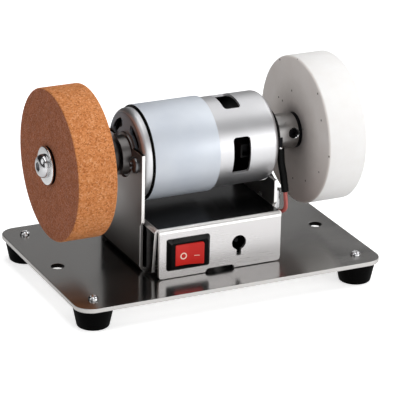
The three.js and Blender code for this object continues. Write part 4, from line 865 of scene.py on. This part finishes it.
def makeWheel(name, part):
    w, inner, outer = wheelShape, part["inner"], part["outer"]
    form = onShaft([(inner, w["bore"]), (inner, w["radius"]), (outer, w["radius"]), (outer, w["bore"])], 0, 1, 160)
    softenEdges(form, part["edge"], 4, 40)
    form.normal_update()
    for face in form.faces:
        # where a wheel has two finishes, its flat sides take the second, with its painted shade
        face.material_index = int(abs(face.normal.x) > 0.9) if len(part["finish"]) > 1 else 0
    finishPiece(name + "Wheel", form, part["finish"], "spindle", "wheel_" + part["color"], 40)


def makeWasher(name, part):
    # a turned steel washer on a thin black ring, which is painted shadow for the gap under the washer
    w, face = washerShape, part["outer"]
    rows = [(0, w["bore"]), (0, w["shadowLayerRadius"]), (w["fibre"], w["shadowLayerRadius"]), (w["fibre"], w["radius"]),
            (w["thickness"], w["radius"]), (w["thickness"], w["bore"])]
    form = onShaft(rows, face, part["side"], 96)
    softenEdges(form, w["bevel"], 3, 40, lambda e: fromAxis(e.verts[0].co) > w["bevelsOut"]
                and abs(e.verts[0].co.x / mm - face) > w["thickness"] - 0.1)
    softenEdges(form, w["edge"], 2, 40)
    form.normal_update()
    for ring in form.faces:
        ring.material_index = int(abs(ring.calc_center_median().x / mm - face) < w["fibre"] + 0.02)
    finishPiece(name + "Washer", form, ["washer", "rubber"], "spindle", "washer_" + part["color"], 30)


def hexSocket(form, center, along, b, outerRadius):
    # joins a round opening in a head to a hexagonal well: center is on the head's face, along points out of it
    ring = [v for v in form.verts if abs((v.co - center).cross(along).length - outerRadius * mm) < 0.02 * mm
            and abs((v.co - center).dot(along)) < 0.05 * mm]
    edges = [e for e in form.edges if e.is_boundary and all(v in ring for v in e.verts)]
    for sink in (b["sink"], b["depth"]):
        made = bmesh.ops.extrude_edge_only(form, edges=edges)["geom"]
        verts = [g for g in made if isinstance(g, bmesh.types.BMVert)]
        edges = [g for g in made if isinstance(g, bmesh.types.BMEdge) and all(v in verts for v in g.verts)]
        for v in verts:
            out = (v.co - center) - along * (v.co - center).dot(along)
            side = along.orthogonal().normalized()
            angle = math.atan2(out.dot(along.cross(side)), out.dot(side))
            bend = (angle + turn / 12) % (turn / 6) - turn / 12
            v.co = center - along * sink * mm + out.normalized() * b["flat"] / 2 / math.cos(bend) * mm
    made = bmesh.ops.extrude_edge_only(form, edges=edges)["geom"]
    for v in (g for g in made if isinstance(g, bmesh.types.BMVert)):
        v.co = center - along * (b["depth"] + b["flat"] * b["point"]) * mm
    bmesh.ops.remove_doubles(form, verts=form.verts, dist=1e-6)
    bmesh.ops.recalc_face_normals(form, faces=form.faces)


def makeWheelScrew(name, part):
    b, side = buttonShape, part["side"]
    face = part["outer"] + side * washerShape["thickness"]
    mouth = b["flat"] / 2 / math.cos(turn / 12) + b["round"]
    rows = [(-b["length"], 0), (-b["length"], b["shank"] - b["tip"]), (b["tip"] - b["length"], b["shank"]),
            (0, b["shank"]), (0, b["head"] - b["headEdge"])]
    rows += arc(b["rim"], mouth, b["height"] - b["rim"], b["head"] - mouth, 90, 0, 10)
    form = onShaft(rows, face, side, 48, False)
    hexSocket(form, at(face + side * b["height"], 0, shaft["height"]), Vector((side, 0, 0)), b, mouth)
    finishPiece(name + "Screw", form, "screw", "spindle", "wheel_screw_" + part["color"], 36)


def makeHub(name, part):
    h, face, side = hubShape, part["hubFace"], part["side"]
    spigot = part["width"] * h["spigotShare"]
    rows = [(-h["length"], h["bore"]), (-h["length"], h["radius"]), (-h["shoulder"], h["radius"]), (0, h["radius"]),
            (0, h["spigot"]), (spigot, h["spigot"]), (spigot, h["bore"])]
    form = onShaft(rows, face, side, 96)
    softenEdges(form, h["chamfer"], 3, 40, lambda e: fromAxis(e.verts[0].co) > h["chamfersOut"]
                and abs(abs(e.verts[0].co.x / mm - face) - h["length"]) < 0.05)
    hub = finishPiece(name + "Hub", form, [part["hub"], "washer", "pin"], "spindle", "hub_" + part["color"],
                      36)
    drillSetScrewHole(hub, face, side)


def drillSetScrewHole(piece, face, side):
    # a countersunk hole in the hub's side; its wall is bright, and the shoulder at the wheel is dark with painted
    # shade
    h = hubShape
    low, top = h["radius"] - h["mouthDepth"], h["radius"] + 0.1
    drill = turnedForm([(h["drillTip"], 0), (h["drillTip"], h["setScrew"]), (low, h["setScrew"]), (top, h["mouth"]),
                        (top + 2, h["mouth"]), (top + 2, 0)], 40, "Z")
    lean = Matrix.Rotation(turn / 4 - math.radians(h["setLift"]), 4, "X")
    place = Matrix.Translation(at(face - side * h["setInset"], 0, shaft["height"])) @ lean
    bmesh.ops.transform(drill, matrix=place, verts=drill.verts)
    cutter = addObject("drill", meshOf(drill, "drill"))
    cut = piece.modifiers.new("setScrewHole", "BOOLEAN")
    cut.operation = "DIFFERENCE"
    cut.solver = "EXACT"
    cut.object = cutter
    bpy.context.view_layer.update()
    made = bpy.data.meshes.new_from_object(piece.evaluated_get(bpy.context.evaluated_depsgraph_get()))
    piece.modifiers.clear()
    for wall in made.polygons:
        spot = place.inverted() @ wall.center / mm
        radial = (wall.center - at(wall.center.x / mm, 0, shaft["height"])).normalized()
        inHole = math.hypot(spot.x, spot.y) < h["mouth"] and spot.z > h["bore"] and radial.dot(wall.normal) <= 0.97
        onShoulder = abs(wall.center.x / mm - face) < h["shoulder"] - 0.05
        wall.material_index = 1 if inHole else 2 if onShoulder else 0
    piece.data = made
    bpy.data.objects.remove(cutter)


plainSpindle = [
    ("setScrew", 0.1, 2, "screw_steel", 34, "set_screw_orange", "set_screw_white"),
    ("screw", 0.2, 2, "shaft_steel", 40, "motor_shaft"),
    ("core", 0.1, 2, "core_steel", 34, "rotor_core"),
    ("copper", 0.8, 3, "winding_copper", 60, "winding_front", "winding_rear"),
    ("commutator", 0, 2, "commutator_copper", 34, "commutator"),
    ("bell", 0.1, 2, "fan_plastic", 34, "rotor_fan"),
]


def makeSpindle():
    for makePiece in (makeWheel, makeWasher, makeWheelScrew, makeHub):
        for name, part in wheelSets.items():
            makePiece(name, part)
    dressPlain("spindle", plainSpindle)
    print("spindle, hubs and wheels done")


# ---------- switch ----------

switchShape = {"middle": (-17.1, 23.4), "panel": -32.4, "length": 21.0, "height": 15.0, "proud": 2.0, "slope": 1.5,
               "corner": 0.9, "landing": 0.3, "wellLength": 14.1, "wellHeight": 10.5, "wellDepth": 9.0,
               "bodyInset": 1.1, "bodyDepth": 14.0, "edge": 0.16, "slopeEnd": 0.4}


def pushFace(form, face, along):
    pushed = bmesh.ops.extrude_discrete_faces(form, faces=[face])["faces"][0]
    bmesh.ops.translate(form, verts=pushed.verts, vec=(0, along * mm, 0))


def largestFace(form, side):
    form.normal_update()
    return max((f for f in form.faces if f.normal.y * side > 0.9), key=lambda f: f.calc_area())


def makeBezel():
    s = switchShape
    x, z = s["middle"]
    form = bmesh.new()
    bmesh.ops.create_cube(form, size=1.0)
    bmesh.ops.scale(form, vec=Vector((s["length"], s["proud"], s["height"])) * mm, verts=form.verts)
    bmesh.ops.translate(form, vec=at(x, s["panel"] - s["proud"] / 2, z), verts=form.verts)
    bevelEdges(form, list(largestFace(form, -1).edges), s["slope"], 1, False)
    form.normal_update()
    near = s["slope"] + 0.1
    ridges = [e for e in form.edges if abs(e.verts[0].co.y - e.verts[1].co.y) > 0.1 * mm
              and all(abs(abs(v.co.x / mm - x) - s["length"] / 2) < near
                      and abs(abs(v.co.z / mm - z) - s["height"] / 2) < near for v in e.verts)]
    bevelEdges(form, ridges, s["corner"], 4)
    front = largestFace(form, -1)
    bmesh.ops.inset_region(form, faces=[front], thickness=s["landing"] * mm, use_even_offset=True)
    reachX = max(abs(v.co.x / mm - x) for v in front.verts)
    reachZ = max(abs(v.co.z / mm - z) for v in front.verts)
    for v in front.verts:
        v.co.x = (x + (v.co.x / mm - x) * s["wellLength"] / 2 / reachX) * mm
        v.co.z = (z + (v.co.z / mm - z) * s["wellHeight"] / 2 / reachZ) * mm
    pushFace(form, front, s["wellDepth"])
    back = largestFace(form, 1)
    bmesh.ops.inset_region(form, faces=[back], thickness=s["bodyInset"] * mm, use_even_offset=True)
    pushFace(form, back, s["bodyDepth"])
    bmesh.ops.recalc_face_normals(form, faces=form.faces)
    softenEdges(form, s["edge"], 2, 35)
    form.normal_update()
    for face in form.faces:
        # the upper slope catches the light, from its outer edge to the landing
        tilted = -0.85 < face.normal.y < -0.5 and face.normal.z > 0.3
        face.material_index = int(tilted and face.calc_center_median().y < (s["panel"] - s["slopeEnd"]) * mm)
    finishPiece("switchBezel", form, ["bezel", "bezelSlope"], "stand", "switch_housing", 50,
                evenFaces=True)


rockerShape = {"length": 13.6, "height": 10.1, "crown": 3.3, "tilt": -7.2, "pivot": (-17.1, -32.0, 23.4),
               "columns": 24, "bow": 1.25, "shoulder": 1.1, "keel": 3.6, "keelShare": 0.3, "round": 0.45,
               "ringRadius": 1.6, "ringWidth": 0.52, "ringPlace": (-2.75, -0.55), "dash": (2.6, 0.24),
               "dashRound": 0.12, "dashPlace": (3.45, -0.8), "proud": 0.05}


def rockerFace(x):
    # how far out the key's face stands: two slopes that meet in a shallow valley
    r = rockerShape
    half = r["length"] / 2
    valley = r["crown"] - half * math.tan(math.radians(abs(r["tilt"])))
    return -(valley + (r["crown"] - valley) * (abs(x) / half) ** r["bow"])


def makeRocker():
    r = rockerShape
    half, tall, keel = r["length"] / 2, r["height"] / 2, r["length"] / 2 * r["keelShare"]
    across = [-half + r["length"] * i / r["columns"] for i in range(r["columns"] + 1)]
    outline = [(x, rockerFace(x)) for x in across]
    outline += [(half, r["shoulder"]), (keel, r["keel"]), (-keel, r["keel"]), (-half, r["shoulder"])]
    form = bmesh.new()
    face = form.faces.new([form.verts.new(at(x, y, -tall)) for x, y in outline])
    made = bmesh.ops.extrude_face_region(form, geom=[face])["geom"]
    raised = [g for g in made if isinstance(g, bmesh.types.BMVert)]
    bmesh.ops.translate(form, verts=raised, vec=(0, 0, 2 * tall * mm))
    bmesh.ops.recalc_face_normals(form, faces=form.faces)
    softenEdges(form, r["round"], 3, 40)
    place = Matrix.Translation(at(*r["pivot"])) @ Matrix.Rotation(math.radians(r["tilt"]), 4, "Z")
    bmesh.ops.transform(form, matrix=place, verts=form.verts)
    finishPiece("rockerKey", form, "rocker", "rocker_key", "rocker", 40)
    markRocker(place)


def markRocker(place):
    # the printed signs for off and on, a ring and a dash, stand a hair proud of the key's two faces
    r = rockerShape
    slope, inner = math.radians(abs(r["tilt"])), r["ringRadius"] - r["ringWidth"]
    ring = turnedForm([(-r["proud"], inner), (-r["proud"], r["ringRadius"]), (r["proud"], r["ringRadius"]),
                       (r["proud"], inner)], 40, "Y")
    dash = bmesh.new()
    bmesh.ops.create_cube(dash, size=1.0)
    bmesh.ops.scale(dash, vec=Vector((r["dash"][0], 2 * r["proud"], r["dash"][1])) * mm, verts=dash.verts)
    softenEdges(dash, r["dashRound"], 2, 40, lambda e: abs(e.verts[0].co.y - e.verts[1].co.y) > r["proud"] * mm)
    signs = [("offRing", ring, r["ringPlace"], slope), ("onDash", dash, r["dashPlace"], -slope)]
    for name, form, (x, z), lean in signs:
        laid = place @ Matrix.Translation(at(x, rockerFace(x), z)) @ Matrix.Rotation(lean, 4, "Z")
        bmesh.ops.transform(form, matrix=laid, verts=form.verts)
        finishPiece(name, form, "mark", "rocker_key", None, 40)


def makeSwitch():
    makeBezel()
    makeRocker()
    dressPlain("stand", [("brass", 0.1, 2, "terminal_brass", 34, "switch_blade_left", "switch_blade_right")])
    print("switch done")


# ---------- leads ----------

solderShape = {"radius": 1.1, "x": 37.4, "y": 13.4, "z": 58.3, "flatter": 0.8, "wider": 1.15, "taper": 0.25}


def makeSolder(end, side):
    # a bright bead where the lead is soldered under its blade
    s = solderShape
    form = bmesh.new()
    bmesh.ops.create_icosphere(form, subdivisions=3, radius=s["radius"] * mm)
    for v in form.verts:
        v.co.z *= s["flatter"]
        v.co.x *= s["wider"] - s["taper"] * v.co.z / (s["radius"] * mm)
    bmesh.ops.translate(form, vec=at(s["x"], side * s["y"], s["z"]), verts=form.verts)
    finishPiece("solder" + end, form, "solder", "stand", None, 80)


plainLeads = [
    ("redWire", 0, 2, "wire_red", 80, "lead_red"),
    ("blackWire", 0, 2, "wire_black", 80, "lead_black"),
    ("shrink", 0.2, 2, "sleeve_shrink", 60, "lead_sleeve_front", "lead_sleeve_rear"),
]


def makeLeads():
    makeSolder("Front", -1)
    makeSolder("Rear", 1)
    dressPlain("stand", plainLeads)
    print("leads done")


placeCamera()
makeFinishes()
for lampName in softboxes:
    addSoftbox(lampName)
makeWorld()
makeFloor()
print("camera, lamps and floor done")
makeBase()
makeSheetMetal()
makeMotor()
makeSpindle()
makeSwitch()
makeLeads()
bpy.context.scene.view_settings.view_transform = "Standard"
bpy.context.view_layer.update()
